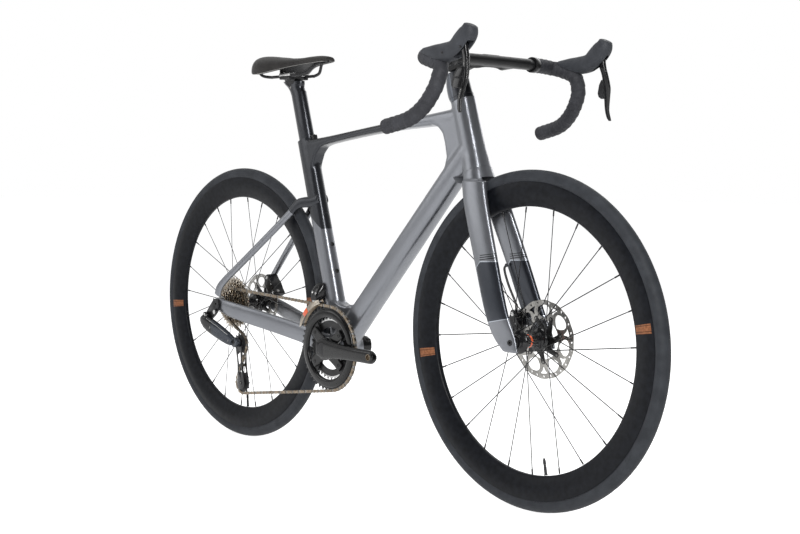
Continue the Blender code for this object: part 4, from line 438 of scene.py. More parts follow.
class Look(Nodes):
    """A Principled material whose nodes work in the object's own coordinates."""

    def __init__(self, name, roughness=0.5, metallic=0.0, coat=0.0, coat_roughness=0.1, specular=0.5):
        self.material = bpy.data.materials.new(name)
        self.material.use_nodes = True
        super().__init__(self.material.node_tree)
        self.shader = self.tree.nodes["Principled BSDF"]
        for socket, value in (("Roughness", roughness), ("Metallic", metallic), ("Coat Weight", coat),
                              ("Coat Roughness", coat_roughness), ("Specular IOR Level", specular)):
            self.shader.inputs[socket].default_value = value
        self.place = self.node("ShaderNodeTexCoord").outputs["Object"]

    def mix(self, share, a, b):
        a, b = [(*value, 1.0) if isinstance(value, tuple) else value for value in (a, b)]
        return self.made("ShaderNodeMix", {"Factor": share, 6: a, 7: b}, 2, data_type="RGBA")

    def noise(self, scale, detail=3.0, stretch=None):
        at = self.place
        if stretch:
            at = self.made("ShaderNodeMapping", {"Vector": at, "Scale": stretch})
        return self.made("ShaderNodeTexNoise", {"Vector": at, "Scale": scale, "Detail": detail}, "Fac")

    def cells(self, scale):
        return self.made("ShaderNodeTexVoronoi", {"Vector": self.place, "Scale": scale}, "Distance")

    def colour(self, value):
        self.put(self.shader.inputs["Base Color"], value)
        return self

    def rough(self, value):
        self.put(self.shader.inputs["Roughness"], value)
        return self

    def bump(self, height, distance, strength=1.0):
        normal = self.shader.inputs["Normal"]
        before = normal.links[0].from_socket if normal.links else None
        self.put(normal, self.made("ShaderNodeBump", {"Distance": distance, "Strength": strength,
                                                      "Height": height, "Normal": before}))
        return self

    def patches(self, scale, detail=3.0, low=0.0, high=1.0):
        return self.spread(self.noise(scale, detail), low, high)

    def surface(self, dark, light, scale, rough, grain, depth):
        """Colour that varies a little, with roughness and a fine bump."""
        fine = self.noise(grain)
        self.colour(self.mix(self.patches(scale, 4.0), dark, light))
        self.rough(self.spread(fine, *rough))
        return self.bump(fine, depth)

    def axis(self, direction, origin):
        """Distance along a direction from a place, in metres."""
        away = self.made("ShaderNodeVectorMath", {0: self.place, 1: origin}, operation="SUBTRACT")
        return self.made("ShaderNodeVectorMath", {0: away, 1: direction}, "Value", operation="DOT_PRODUCT")

    def step(self, distance, slope, start=0.5):
        """From 0 to 1 over a short distance."""
        return self.math("ADD", self.math("MULTIPLY", distance, slope), start, clamp=True)

    def beyond(self, p, q, blur=0.0004):
        """1 on the left of the line from p to q, seen with +X to the right and +Z up."""
        along = Vector((q[0] - p[0], 0, q[1] - p[1])).normalized()
        off = self.axis((-along.z, 0, along.x), (p[0], 0, p[1]))
        return self.math("ADD", self.math("DIVIDE", off, blur), 0.5, clamp=True)

    def all(self, *masks):
        found = masks[0]
        for mask in masks[1:]:
            found = self.math("MINIMUM", found, mask)
        return found

    def no(self, a):
        return self.math("SUBTRACT", 1.0, a)

    def inside(self, outline, blur=0.0004):
        """1 inside an outline of corners that run anticlockwise in x and z."""
        return self.all(*[self.beyond(p, q, blur) for p, q in zip(outline, outline[1:] + outline[:1])])

    def angle_band(self, axle, angle, half):
        """1 on the side of a rim within an angle of a direction, both in degrees."""
        out, turn = [self.axis(direction, axle) for direction in directions(angle)]
        slope = self.math("ABSOLUTE", self.math("ARCTAN2", turn, out))
        radius = self.math("SQRT", self.math("ADD", *[self.math("MULTIPLY", a, a) for a in (turn, out)]))
        near = self.step(self.math("SUBTRACT", math.radians(half), slope), 700.0)
        over = self.step(self.math("SUBTRACT", radius, 0.2725), 2500.0)
        under = self.step(self.math("SUBTRACT", 0.3125, radius), 2500.0)
        return self.all(near, over, under)


SILVER = (0.175, 0.182, 0.199)
ANTHRACITE = (0.024, 0.026, 0.031)


def times(colour, factor):
    return tuple(channel * factor for channel in colour)


def metallic_paint(name, tone=SILVER, zones=None):
    """Satin metallic paint: fine flakes, a slow change of tone and a faint orange peel."""
    look = Look(name, 0.31, 0.80, 0.30, 0.20)
    flakes = look.spread(look.cells(2600.0), 0.94, 1.05, 0.1, 0.8)
    amount = look.math("MULTIPLY", flakes, look.patches(9.0, 2.0, 0.94, 1.05))
    base = tone
    for mask, colour in zones(look) if zones else ():
        base = look.mix(mask, base, colour)
    look.colour(look.made("ShaderNodeVectorMath", {0: base, "Scale": amount}, operation="SCALE"))
    look.rough(look.patches(150.0, 2.0, 0.28, 0.35))
    return look.bump(look.noise(150.0, 1.0), 0.00002, 0.15).material


def stay_zones(look):
    """Dark above the slanted edge near the seat tube, silver below it."""
    return [(look.no(look.beyond((-0.2413, 0.5644), (-0.2653, 0.5828))), ANTHRACITE)]


def triangle_zones(look):
    """Dark above a chevron on the seat tube and along the top tube's upper side."""
    peak = (-0.158, 0.5386)
    left_half = look.beyond((-0.158, 0.45), (-0.158, 0.65))
    chevron = look.any(look.all(look.no(look.beyond(peak, (-0.2065, 0.5710))), left_half),
                       look.all(look.beyond(peak, (-0.100, 0.5453)), look.no(left_half)))
    seat = look.all(chevron, look.beyond((-0.100, 0.50), (-0.130, 0.80)))
    top = look.all(look.beyond((0.070, 0.60), (0.058, 0.90)),
                   look.beyond((-0.30, 0.690), (0.30, 0.690), 0.001))
    return [(look.any(seat, top), ANTHRACITE)]


def fork_zones(look):
    """The dark panel with its light edges low on each leg, and three thin lines above it."""
    panel = [(0.4035, 0.4937), (0.3924, 0.4810), (0.4314, 0.3755), (0.5102, 0.3923), (0.4592, 0.4968)]
    edge = [(0.4032, 0.4952), (0.3908, 0.4811), (0.4304, 0.3740), (0.5122, 0.3912), (0.4600, 0.4983)]
    zones = [(look.inside(edge), (0.42, 0.45, 0.50)), (look.inside(panel), (0.031, 0.035, 0.044))]
    for k in range(3):
        line = [(0.4010 - 0.0004 * k, 0.4985), (0.4040, 0.4970), (0.4640, 0.5065), (0.4640, 0.5083),
                (0.4040, 0.4990)]
        zones.append((look.inside([(x, z + 0.0045 * k) for x, z in line], 0.0003), (0.012, 0.013, 0.015)))
    return zones


def painted_highlight_on_spacers(look):
    """A painted highlight: a lighter blue-grey on the back of the spacers, where the light falls on them."""
    return [(look.step(look.axis(-STEER_FRONT, steer_point(0.55)), 900.0, -9.0), (0.085, 0.094, 0.112))]


def black_gloss(name, tone, coat):
    look = Look(name, 0.22, 0.0, coat, 0.05, 0.15)
    worn = look.patches(140.0, 5.0, 0.16, 0.30)
    look.colour(look.mix(look.patches(35.0), times((1, 1, 1.1), tone), times((1.5, 1.5, 1.7), tone)))
    return look.rough(worn).bump(look.noise(900.0, 2.0), 0.00002, 0.5).material


def metal(name, dark, light, rough=(0.22, 0.36), grain=900.0, scale=50.0, metallic=1.0):
    return Look(name, 0.3, metallic).surface(dark, light, scale, rough, grain, 0.00002).material


def carbon(name, tone, rough=(0.34, 0.46), stretch=(1, 14, 14), coat=0.12):
    """Matt carbon fibre whose fibres run one way."""
    look = Look(name, 0.4, 0.0, coat, 0.28, 0.10)
    fibres = look.noise(160.0, 4.0, stretch)
    share = look.math("ADD", look.math("MULTIPLY", look.spread(fibres, 0.0, 1.0, 0.35, 0.65), 0.7),
                      look.math("MULTIPLY", look.patches(22.0), 0.3))
    look.colour(look.mix(share, times((0.6, 0.6, 0.65), tone), times((1.9, 1.95, 2.1), tone)))
    return look.rough(look.spread(fibres, *rough)).bump(fibres, 0.00004, 0.6)


def rim_carbon(name, axle, bands):
    """Matt black rim sides with two copper bands, each between two fine dark lines."""
    look = carbon(name, 0.008, stretch=(1, 1, 1), coat=0.03)
    base = look.mix(look.patches(90.0, 5.0), (0.0030, 0.0034, 0.0046), (0.0085, 0.0095, 0.0125))
    for angle in bands:
        copper = look.mix(look.patches(240.0), (0.17, 0.065, 0.030), (0.30, 0.125, 0.060))
        base = look.mix(look.angle_band(axle, angle, 1.7), base, copper)
        for line in (-0.95, 1.15):
            base = look.mix(look.angle_band(axle, angle + line, 0.10), base, (0.03, 0.014, 0.010))
    return look.colour(base).material


def rubber(name, dark, light, rough, grain, depth, cells=None):
    look = Look(name, 0.7, specular=0.28).surface(dark, light, 40.0, rough, grain, depth)
    if cells:
        look.bump(look.cells(cells), depth * 3, 0.8)
    return look.material


def derailleur_paint():
    """Black at the upper end, satin blue-grey on the lower link."""
    look = Look("derailleur_paint", 0.3, 0.4, 0.4, 0.1, 0.3)
    low = look.step(look.axis(FORWARD, REAR_AXLE), 260.0, 2.2)
    patchy = look.patches(70.0)
    dark = look.mix(patchy, (0.004, 0.004, 0.005), (0.009, 0.009, 0.010))
    look.colour(look.mix(low, dark, look.mix(patchy, (0.022, 0.027, 0.036), (0.034, 0.040, 0.052))))
    look.rough(look.patches(420.0, 2.0, 0.20, 0.36))
    return look.bump(look.noise(700.0, 2.0), 0.00003, 0.5).material


paint_frame = metallic_paint("frame_paint", SILVER, triangle_zones)
paint_stays = metallic_paint("seatstay_paint", SILVER, stay_zones)
paint_fork = metallic_paint("fork_paint", SILVER, fork_zones)
paint_silver = metallic_paint("silver_paint_plain")
paint_dark = metallic_paint("dark_paint_plain", ANTHRACITE)
# Anthracite spacer paint, with a painted highlight in lighter blue-grey on the back of the stack.
spacers_with_painted_highlight = metallic_paint("anthracite_spacers_painted_highlight", ANTHRACITE, painted_highlight_on_spacers)
gloss = black_gloss("gloss_black_shell", 0.004, 0.4)
deep_gloss = black_gloss("polished_black", 0.002, 0.35)
alloy = metal("black_anodised", times((1, 1, 1), 0.014), times((1.9, 1.9, 2.0), 0.014), (0.28, 0.42),
              1500.0, 60.0, 0.6)
steel = metal("bright_steel", (0.42, 0.42, 0.42), (0.62, 0.62, 0.61))
dull_steel = metal("dull_steel", (0.15, 0.147, 0.142), (0.30, 0.295, 0.285), (0.30, 0.45))
bronze = metal("oiled_bronze_steel", (0.13, 0.100, 0.070), (0.29, 0.235, 0.175), (0.26, 0.42), 1400.0, 120.0)
cog_steel = metal("cog_steel", (0.24, 0.21, 0.175), (0.44, 0.40, 0.345), (0.24, 0.40))
chain_pin = metal("chain_pin_steel", (0.16, 0.15, 0.135), (0.34, 0.32, 0.29), (0.28, 0.42))
rotor_steel = metal("ground_rotor_steel", (0.22, 0.215, 0.205), (0.40, 0.39, 0.37), (0.24, 0.36), 700.0)
carbon_bar = carbon("bar_carbon", 0.005, (0.34, 0.48), (14, 1, 14)).material
carbon_plain = carbon("rail_carbon", 0.012).material
hood_rubber = rubber("hood_rubber_fine", (0.024, 0.026, 0.031), (0.040, 0.043, 0.050), (0.50, 0.66), 900.0,
                     0.00005, 900.0)
tape_foam = rubber("bar_tape_foam", (0.020, 0.0205, 0.024), (0.038, 0.039, 0.045), (0.55, 0.74), 700.0,
                   0.00010, 420.0)
saddle_skin = rubber("saddle_leather", (0.011, 0.010, 0.0095), (0.024, 0.022, 0.021), (0.42, 0.60), 1300.0,
                     0.00008, 1500.0)
nylon = rubber("black_nylon", (0.014, 0.014, 0.015), (0.026, 0.026, 0.028), (0.40, 0.58), 800.0, 0.00004)
hose_look = rubber("hose_jacket", (0.010, 0.010, 0.011), (0.018, 0.018, 0.019), (0.30, 0.42), 600.0, 0.00003)
lining = rubber("pad_lining", (0.07, 0.055, 0.045), (0.14, 0.11, 0.085), (0.7, 0.9), 1800.0, 0.0001)
tyre = Look("tyre_rubber_matt", 0.7, specular=0.28)
tyre.surface((0.016, 0.018, 0.022), (0.030, 0.033, 0.039), 40.0, (0.55, 0.75), 1400.0, 0.00006)
tyre_look = tyre.bump(tyre.noise(220.0, 4.0), 0.00012, 0.5).material
orange = Look("orange_resin", 0.35, 0.0, 0.4).surface((0.62, 0.075, 0.018), (0.80, 0.13, 0.03), 80.0,
                                                      (0.28, 0.42), 900.0, 0.00003).material


# Frame

CHAINSTAY = ((0.0313, -0.0010, 0.0228, 0.0224, 0.0088), (0.1495, -0.0001, 0.0240, 0.0225, 0.0062),
             (0.2951, 0.0006, 0.0278, 0.0218, 0.0060), (0.5199, 0.0010, 0.0430, 0.0213, 0.0062),
             (0.7667, 0.0020, 0.0640, 0.0205, 0.0058), (0.9027, 0.0019, DROPOUT_Y - 0.0015, 0.0185, 0.0052),
             (1.0368, 0.0007, DROPOUT_Y - 0.0006, 0.0130, 0.0046))
SEATSTAY = ((-0.0400, 0.0080, 0.0060, 0.0130, 0.0100), (0.0100, 0.0010, 0.0108, 0.0132, 0.0100),
            (0.0976, -0.0220, 0.0230, 0.0115, 0.0062), (0.1964, -0.0222, 0.0290, 0.0090, 0.0057),
            (0.4507, -0.0256, 0.0450, 0.0085, 0.0057), (0.7050, -0.0289, 0.0620, 0.0085, 0.0054),
            (0.8534, -0.0307, DROPOUT_Y - 0.003, 0.0090, 0.0047), (0.9306, -0.0287, DROPOUT_Y, 0.0110, 0.0042),
            (0.9775, -0.0194, DROPOUT_Y, 0.0125, 0.0042))


def seat_section(height, half_chord, half_width, power, shift=0.0):
    at = BB + SEAT_AXIS * height + SEAT_FRONT * shift
    return section(at, SIDE, SEAT_FRONT, half_width, half_chord, power)


def seat_tube(extra=0.0, top=SEAT_TUBE_LENGTH):
    chord, wide = SEAT_CHORD / 2 + extra, 0.0335 / 2 + extra
    return skin([seat_section(h, chord, wide + more, 2.6, -0.0012)
                 for h, more in ((0.012, 0.006), (0.06, 0.003), (0.12, 0.001), (0.30, 0.0), (top, 0.0))])


def post_section(height, extra):
    return seat_section(height, 0.0225 + extra, 0.01375 + extra, 2.3)


DOWN_LOW = BB + Vector((0.030, 0, 0.0430))
DOWN_HIGH = steer_point(SEAM_HEIGHT + 0.0505)
DOWN_AXIS = (DOWN_HIGH - DOWN_LOW).normalized()


def down_tube():
    length = (DOWN_HIGH - DOWN_LOW).length
    stations = [(-0.030, 1.05, 1.12), (0.10, 1.0, 1.05), (0.30, 1.0, 1.0), (length - 0.01, 0.98, 0.84)]
    return skin([section(DOWN_LOW + DOWN_AXIS * s, SIDE, square_up(DOWN_AXIS), 0.027 * w, 0.02475 * h, 3.0)
                 for s, h, w in stations])


def top_tube():
    rows = smooth_rows(((0.9739, -0.0337, 0.0195, 0.0200), (0.8392, -0.0275, 0.0140, 0.0195),
                        (0.5099, -0.0187, 0.0094, 0.0185), (0.1843, -0.0161, 0.0097, 0.0168),
                        (0.0066, -0.0167, 0.0148, 0.0165)), 5)
    return skin([section(SEAT_TOP.lerp(HEAD_END, share) + UP * rise, SIDE, UP, half, high, 3.0)
                 for share, rise, high, half in rows])


def along_steerer(rows, power):
    """A faired shape from rows of height, half width, reach to the front and reach to the rear."""
    return [section(steer_point(h, (front - rear) / 2), SIDE, STEER_FRONT, half, (front + rear) / 2, power)
            for h, half, front, rear in rows]


def web(at, outline, half):
    return plate(outline, -half, 2 * half, at)


def frame_triangle():
    head_tube = skin(along_steerer(((SEAM_HEIGHT - 0.005, 0.0270, 0.0255, 0.0345),
                                    (SEAM_HEIGHT + 0.010, 0.0255, 0.0243, 0.0335),
                                    (SEAM_HEIGHT + 0.040, 0.0225, 0.0225, 0.0320),
                                    (HEAD_TOP + 0.006, 0.0215, 0.0225, 0.0320)), 2.4))
    head = web(HEAD_END, ((-0.0839, -0.0491), (-0.0609, -0.0561), (-0.0469, -0.0691), (-0.0399, -0.0891),
                          (-0.0339, -0.1181), (-0.0409, -0.1441), (0.0011, -0.1341), (0.0292, -0.0956),
                          (-0.0069, -0.0381), (-0.0489, -0.0401)), 0.0195)
    seat = web(SEAT_TOP, ((0.0305, -0.0890), (0.0405, -0.0590), (0.0505, -0.0350), (0.0675, -0.0180),
                          (0.0975, -0.0095), (0.0855, 0.0010), (0.0205, -0.0050)), 0.0162)
    bottom = web(BB, ((-0.0285, 0.1050), (-0.0075, 0.1040), (0.0045, 0.0990), (0.0235, 0.0970),
                      (0.0395, 0.1035), (0.0695, 0.0780), (0.0345, 0.0080), (-0.0205, 0.0080),
                      (-0.0455, 0.0630)), 0.01675)
    front, deep, half = 0.0225, 0.030 + GAP, 0.0063
    pocket = [(front, -deep), (front + 0.0075 + 2 * GAP, -deep), (front + 0.0095 + 2 * GAP, -0.006),
              (front + 0.0095 + 2 * GAP, 0.02), (front, 0.02)]
    item = moulded(
        [seat_tube(0.0002, SEAT_TUBE_LENGTH + 0.008), barrel(BB, 0.037, SHELL_RADIUS, 60), down_tube(),
         top_tube(), head_tube, head, seat, bottom], 0.0019, 26,
        along_steer(SEAM_HEIGHT - 0.10, SEAM_HEIGHT + GAP / 2, 0.060),
        along_steer(HEAD_TOP, HEAD_TOP + 0.03, 0.045),
        turned([(SEAT_TUBE_LENGTH, 0.0330), (SEAT_TUBE_LENGTH + 0.030, 0.0330)], BB - SEAT_FRONT * 0.0012,
               SEAT_AXIS, 64),
        skin([post_section(0.2686, GAP), post_section(SEAT_TUBE_LENGTH + 0.02, GAP)]),
        prism(pocket, SEAT_TOP - SIDE * half, SEAT_FRONT, SEAT_AXIS, SIDE * 2 * half),
        barrel(REAR_AXLE, 0.03, TYRE_ROOM, 180), barrel(BB, 0.05, 0.0206),
        box((-0.05, 0.034, -0.05), (0.05, 0.050, 0.05), BB),
        box((-0.05, -0.050, -0.05), (0.05, -0.034, 0.05), BB),
        along_steer(SEAM_HEIGHT - 0.02, HEAD_TOP + 0.02, 0.0158, 48),
        along_steer(SEAM_HEIGHT - 0.02, SEAM_HEIGHT + 0.0076, 0.0218, 48),
        along_steer(HEAD_TOP - 0.0076, HEAD_TOP + 0.02, 0.0188, 48))
    dress(item, "frame_triangle_skin", paint_frame, "frame", ["front_triangle"])


def stay(start, stations, side, extra=(0.0, 0.0), steps=5):
    rows = smooth_rows(stations, steps)
    path = [between(start, REAR_AXLE, share, rise, side * y) for share, rise, y, _, _ in rows]
    rings = []
    for (_, _, _, high, wide), point, along in zip(rows, path, tangents(path)):
        up = square_up(along)
        rings.append(section(point, up.cross(along).normalized(), up, wide + extra[1], high + extra[0],
                             2.4, 28))
    return skin(rings)


def both_stays(start, stations, extra, steps=5):
    return [stay(start, stations, side, extra, steps) for side in (RIGHT, LEFT)]


def rear_stays():
    yoke = box((-0.0475, -0.0195, -0.0110), (-0.0110, 0.0195, 0.0200), BB)
    item = moulded([*both_stays(BB, CHAINSTAY, (0.0003, 0.0005)), yoke], 0.0015, 6,
                   barrel(REAR_AXLE, 0.0713, HUB_ROOM, 72), barrel(REAR_AXLE, 0.12, AXLE_HOLE, 32),
                   barrel(REAR_AXLE, 0.020, TYRE_ROOM, 180), seat_tube(GAP), barrel(BB, 0.06, 0.0316, 60))
    dress(item, "chainstays_skin", paint_silver, "frame", ["chainstays"])
    middle = between(STAY_JOIN, REAR_AXLE, 0.0898, -0.0225)
    bridge = skin([section(middle + SIDE * y, FORWARD, UP, 0.0105, 0.0115, 2.6) for y in (-0.0225, 0.0225)])
    under = ((-0.106, 0.021), (0.004, 0.0125), (0.094, 0.001), (0.094, -0.040), (-0.106, -0.040))
    item = moulded([*both_stays(STAY_JOIN, SEATSTAY, (0.0003, 0.0005)), bridge], 0.0015, 6,
                   seat_tube(GAP), plate(under, -0.1, 0.2, REAR_AXLE), *both_stays(BB, CHAINSTAY, (GAP, 0.01), 1))
    dress(item, "seatstays_skin", paint_stays, "frame", ["seatstays"])
    screw = bolt(polar(REAR_AXLE, 150, 0.020, -0.0797), -SIDE, 0.0026, 0.0006, 0.45)
    piece("dropout_screws", [(screw, alloy)], "frame")


def bottle_bolts():
    down_up = square_up(DOWN_AXIS)
    spots = [(BB + SEAT_AXIS * height + SEAT_FRONT * (SEAT_CHORD / 2 - 0.0014), SEAT_FRONT)
             for height in (0.2400, 0.1760)]
    spots += [(DOWN_LOW + DOWN_AXIS * reach + down_up * 0.0246, down_up) for reach in (0.315, 0.251)]
    parts = []
    for at, out in spots:
        parts.append((turned([(0, 0.0052), (0.0006, 0.0052), (0.0008, 0.0047)], at, out, 28), alloy))
        parts.append((bolt(at + out * 0.0006, out, 0.0042, 0.0022), alloy))
    piece("bottle_bolts", parts, "frame")
    screw = bolt(SEAT_TOP + SEAT_FRONT * 0.0276 + SEAT_AXIS * 0.0022, SEAT_AXIS, 0.0031, 0.0016)
    piece("wedge_screw", [(screw, dull_steel)], "frame")


frame_triangle()
rear_stays()
bottle_bolts()


# Fork, spacers and cockpit

FORK_LEG = ((0.0152, 0.0031, 0.0240, 0.0325, 0.0108), (0.1839, -0.0040, 0.0330, 0.0335, 0.0095),
            (0.5338, -0.0108, 0.0455, 0.0320, 0.0085), (0.7919, -0.0163, 0.0525, 0.0315, 0.0075),
            (0.9507, -0.0141, 0.0543, 0.0310, 0.0043), (1.0506, -0.0092, 0.0543, 0.0200, 0.0042))
STACK = ((0.5203, 0.0215, 0.0225, 0.0320), (0.5290, 0.0209, 0.0216, 0.0362), (0.5380, 0.0200, 0.0205, 0.0385),
         (0.5580, 0.0190, 0.0195, 0.0385), (0.5720, 0.0186, 0.0192, 0.0350), (0.5822, 0.0185, 0.0190, 0.0310))
TOPS = ((0.0953, 0.000, 0.0161), (0.0958, 0.045, 0.0161), (0.0968, 0.085, 0.0157), (0.0986, 0.113, 0.0153))
DROPS = ((0.0989, 0.122, 0.0151), (0.0938, 0.157, 0.0146), (0.0938, 0.182, 0.0126), (0.1153, 0.193, 0.0066),
         (0.1493, 0.194, -0.0079), (0.1527, 0.202, -0.0339), (0.1447, 0.2065, -0.0569),
         (0.1223, 0.212, -0.0869), (0.0873, 0.218, -0.1094), (0.0284, 0.224, -0.1229))
BAR_WEB = ((0.014, 0.058, 0.032, 0.0030, 0.0120), (0.034, 0.066, 0.026, 0.0060, 0.0095),
           (0.060, 0.076, 0.018, 0.0110, 0.0085), (0.085, 0.084, 0.012, 0.0148, 0.0080),
           (0.110, 0.0885, 0.006, 0.0158, 0.0065))
HOOD = ((0.1083, 0.0211, 0.0070, 0.0130), (0.1358, 0.0166, 0.0152, 0.0166), (0.1628, 0.0156, 0.0182, 0.0170),
        (0.1903, 0.0196, 0.0190, 0.0168), (0.2103, 0.0341, 0.0212, 0.0164), (0.2248, 0.0481, 0.0196, 0.0158),
        (0.2313, 0.0616, 0.0135, 0.0130))
HOOD_SIDE = 0.1945
LEVER = ((0.007, 0.000, 0.0080), (-0.010, 0.003, 0.0078), (-0.030, 0.008, 0.0072), (-0.055, 0.010, 0.0085),
         (-0.075, 0.008, 0.0070), (-0.100, 0.005, 0.0050), (-0.116, 0.007, 0.0045), (-0.123, 0.0100, 0.0030))


def fork_leg(side, extra=0.0):
    return skin([section(between(CROWN, FRONT_AXLE, share, rise, side * y), SIDE, FORWARD, wide + extra,
                         chord + extra, 2.4, 32) for share, rise, y, chord, wide in smooth_rows(FORK_LEG, 5)])


def fork():
    crown = smooth_rows(((SEAM_HEIGHT + 0.004, 0.0262, 0.0250, 0.0340),
                         (SEAM_HEIGHT - 0.012, 0.0298, 0.0266, 0.0360),
                         (SEAM_HEIGHT - 0.042, 0.0335, 0.0285, 0.0342),
                         (SEAM_HEIGHT - 0.062, 0.0305, 0.0235, 0.0280)), 4)
    legs = [fork_leg(side, 0.0004) for side in (RIGHT, LEFT)]
    item = moulded([skin(along_steerer(crown, 2.4)), *legs], 0.0017, 18,
                   along_steer(SEAM_HEIGHT - GAP, SEAM_HEIGHT + 0.03, 0.060),
                   barrel(FRONT_AXLE, 0.0205, TYRE_ROOM, 180), barrel(FRONT_AXLE, 0.0503, HUB_ROOM, 72),
                   barrel(FRONT_AXLE, 0.1, AXLE_HOLE, 32))
    dress(item, "fork_skin", paint_fork, "steering", ["fork"])
    steerer = rod(steer_point(SEAM_HEIGHT - 0.012), steer_point(STACK_TOP + 0.020), 0.0143, 40)
    screw = bolt(Vector((0.4867, -0.0583, 0.3392)), -SIDE, 0.0030, 0.0005, 0.55)
    piece("steerer_tube", [(steerer, carbon_plain), (screw, alloy)], "steering")


def spacers():
    """A faired stack of spacers with their parting lines."""
    rows = smooth_rows(STACK, 6)
    splits = (0.5203, 0.5285, 0.5822)
    shapes = []
    for low, high in zip(splits, splits[1:]):
        heights = [(low + 0.00005, -0.0005), (low + 0.0005, 0.0)]
        heights += [(row[0], 0.0) for row in rows if low + 0.0008 < row[0] < high - 0.0008]
        heights += [(high - 0.0005, 0.0), (high - 0.00005, -0.0005)]
        faired = [(height, *[value + less for value in by_height(rows, height)[1:]])
                  for height, less in heights]
        shapes.append(skin(along_steerer(faired, 2.2)))
    for name, shape, nodes in zip(("spacer_1", "spacer_2"), shapes, (["steerer_spacers"], ())):
        item = cut(mesh_object(name, shape), along_steer(0.50, 0.60, STEERER_HOLE, 40))
        dress(item, name, spacers_with_painted_highlight, "steering", nodes)
    screw = bolt(steer_point(0.5455, -0.006, -0.0186), -SIDE, 0.0022, 0.0008)
    piece("spacer_bolt", [(screw, steel)], "steering")


def drop_path(side, steps=8):
    return smooth_path([BAR_AT + Vector((x, side * y, z)) for x, y, z in DROPS], steps)


def bar_shape(side):
    """One half of the bar: flattened tops that run into the round drop."""
    path = [BAR_AT + Vector((x, side * y, z)) for x, y, z in smooth_rows(TOPS, 6)] + drop_path(side)[:-1]
    rings = []
    for point, (_, up, across) in zip(path, carried_frames(path, UP)):
        y = abs(point.y)
        wing = min(1.0, max(0.0, (0.122 - y) / 0.030)) if point.x > BAR_AT.x + 0.09 and y < 0.122 else 0.0
        wing = wing * wing * (3 - 2 * wing)
        rings.append(section(point, across, up, BAR_RADIUS + 0.0075 * wing, BAR_RADIUS - 0.0010 * wing,
                             2.0, 32))
    return skin(rings)


def cockpit():
    stem = ((-0.0341, 0.0060), (0.0179, -0.0100), (0.0643, 0.0006), (0.0953, 0.0031), (0.1113, 0.0161),
            (0.0953, 0.0291), (0.0493, 0.0291), (-0.0021, 0.0306), (-0.0361, 0.0211))
    shapes = [bar_shape(RIGHT), bar_shape(LEFT), plate(stem, -0.022, 0.044, BAR_AT)]
    slots = []
    for side in (RIGHT, LEFT):
        shapes.append(skin([section(BAR_AT + Vector((x, side * y, z)), FORWARD, UP, long, high, 2.2, 28)
                            for y, x, long, z, high in smooth_rows(BAR_WEB, 5)]))
        slot = [(BAR_AT.x + x, side * y) for x, y in ((0.0593, 0.026), (0.0673, 0.026), (0.0713, 0.042),
                                                      (0.0663, 0.042))]
        slots.append(prism(smooth_loop(slot, 5), (0, 0, BAR_AT.z - 0.02), FORWARD, SIDE, UP * 0.06))
    item = moulded(shapes, 0.0014, 8, along_steer(STACK_TOP - 0.06, STACK_TOP + GAP, 0.09),
                   along_steer(STACK_TOP - 0.02, STACK_TOP + 0.0205, STEERER_HOLE, 40), *slots)
    dress(item, "cockpit_skin", carbon_bar, "steering", ["cockpit"])
    bolts = [(bolt(BAR_AT + Vector((-0.0335, y, 0.0165)), Vector((-1, 0, 0.12)), 0.0036, 0.0020), steel)
             for y in (-0.011, 0.011)]
    piece("stem_bolts", bolts, "steering")


def wound_tape(side, word):
    """Foam tape wound round the bar: each turn laps the one before it."""
    path = drop_path(side, 24)
    run = running_length(path)
    frames = carried_frames(path, UP)
    turns, fine, count = 21, 12, 40
    rings, inner = [], []
    i = 0
    for k in range(turns * fine + 1):
        s = run[-1] * k / (turns * fine)
        while i < len(path) - 2 and run[i + 1] < s:
            i += 1
        t = min(1.0, max(0.0, (s - run[i]) / (run[i + 1] - run[i])))
        here, there = (path[i], *frames[i][1:]), (path[i + 1], *frames[i + 1][1:])
        point, up, across = [a.lerp(b, t) for a, b in zip(here, there)]
        up.normalize()
        across.normalize()
        ring = []
        for n in range(count):
            angle = 2 * math.pi * n / count
            lap = (k / fine + side * n / count) % 1.0
            lip = 0.00125 * lap ** 1.6 if lap < 0.90 else 0.00125 * (1.0 - lap) / 0.10 * 0.85
            ring.append(((across * math.cos(angle) + up * math.sin(angle)), BAR_RADIUS + 0.0022 + lip))
        rings.append([point + out * radius for out, radius in ring])
        if k % fine == 0:
            inner.append([point + out * 0.0130 for out, _ in ring])
    piece("wound_tape_" + word, [(skin(rings + inner[::-1], closed=True), tape_foam)], "steering",
          ["bar_tape_" + word], sharp=30.0)
    ring = turned_ring([(0.0132, -0.0100), (0.0161, -0.0097), (0.0163, -0.0090), (0.0163, 0.0032),
                        (0.0160, 0.0040), (0.0132, 0.0042)], path[0], 48, axis=(path[3] - path[0]).normalized())
    piece("tape_end_ring_" + word, [(ring, alloy)], "steering")
    end, out = path[-1], frames[-1][0]
    plug = turned([(GAP, 0.0142), (0.0006, 0.0148), (0.0028, 0.0148), (0.0040, 0.0135), (0.0046, 0.0115),
                   (0.0042, 0.0080), (0.0046, 0.0070), (0.0049, 0.0040)], end, out, 40)
    piece("end_plug_" + word, [(plug, nylon), (bolt(end + out * 0.0040, out, 0.0028, 0.0011), dull_steel)],
          "steering", ["bar_end_plug_" + word])


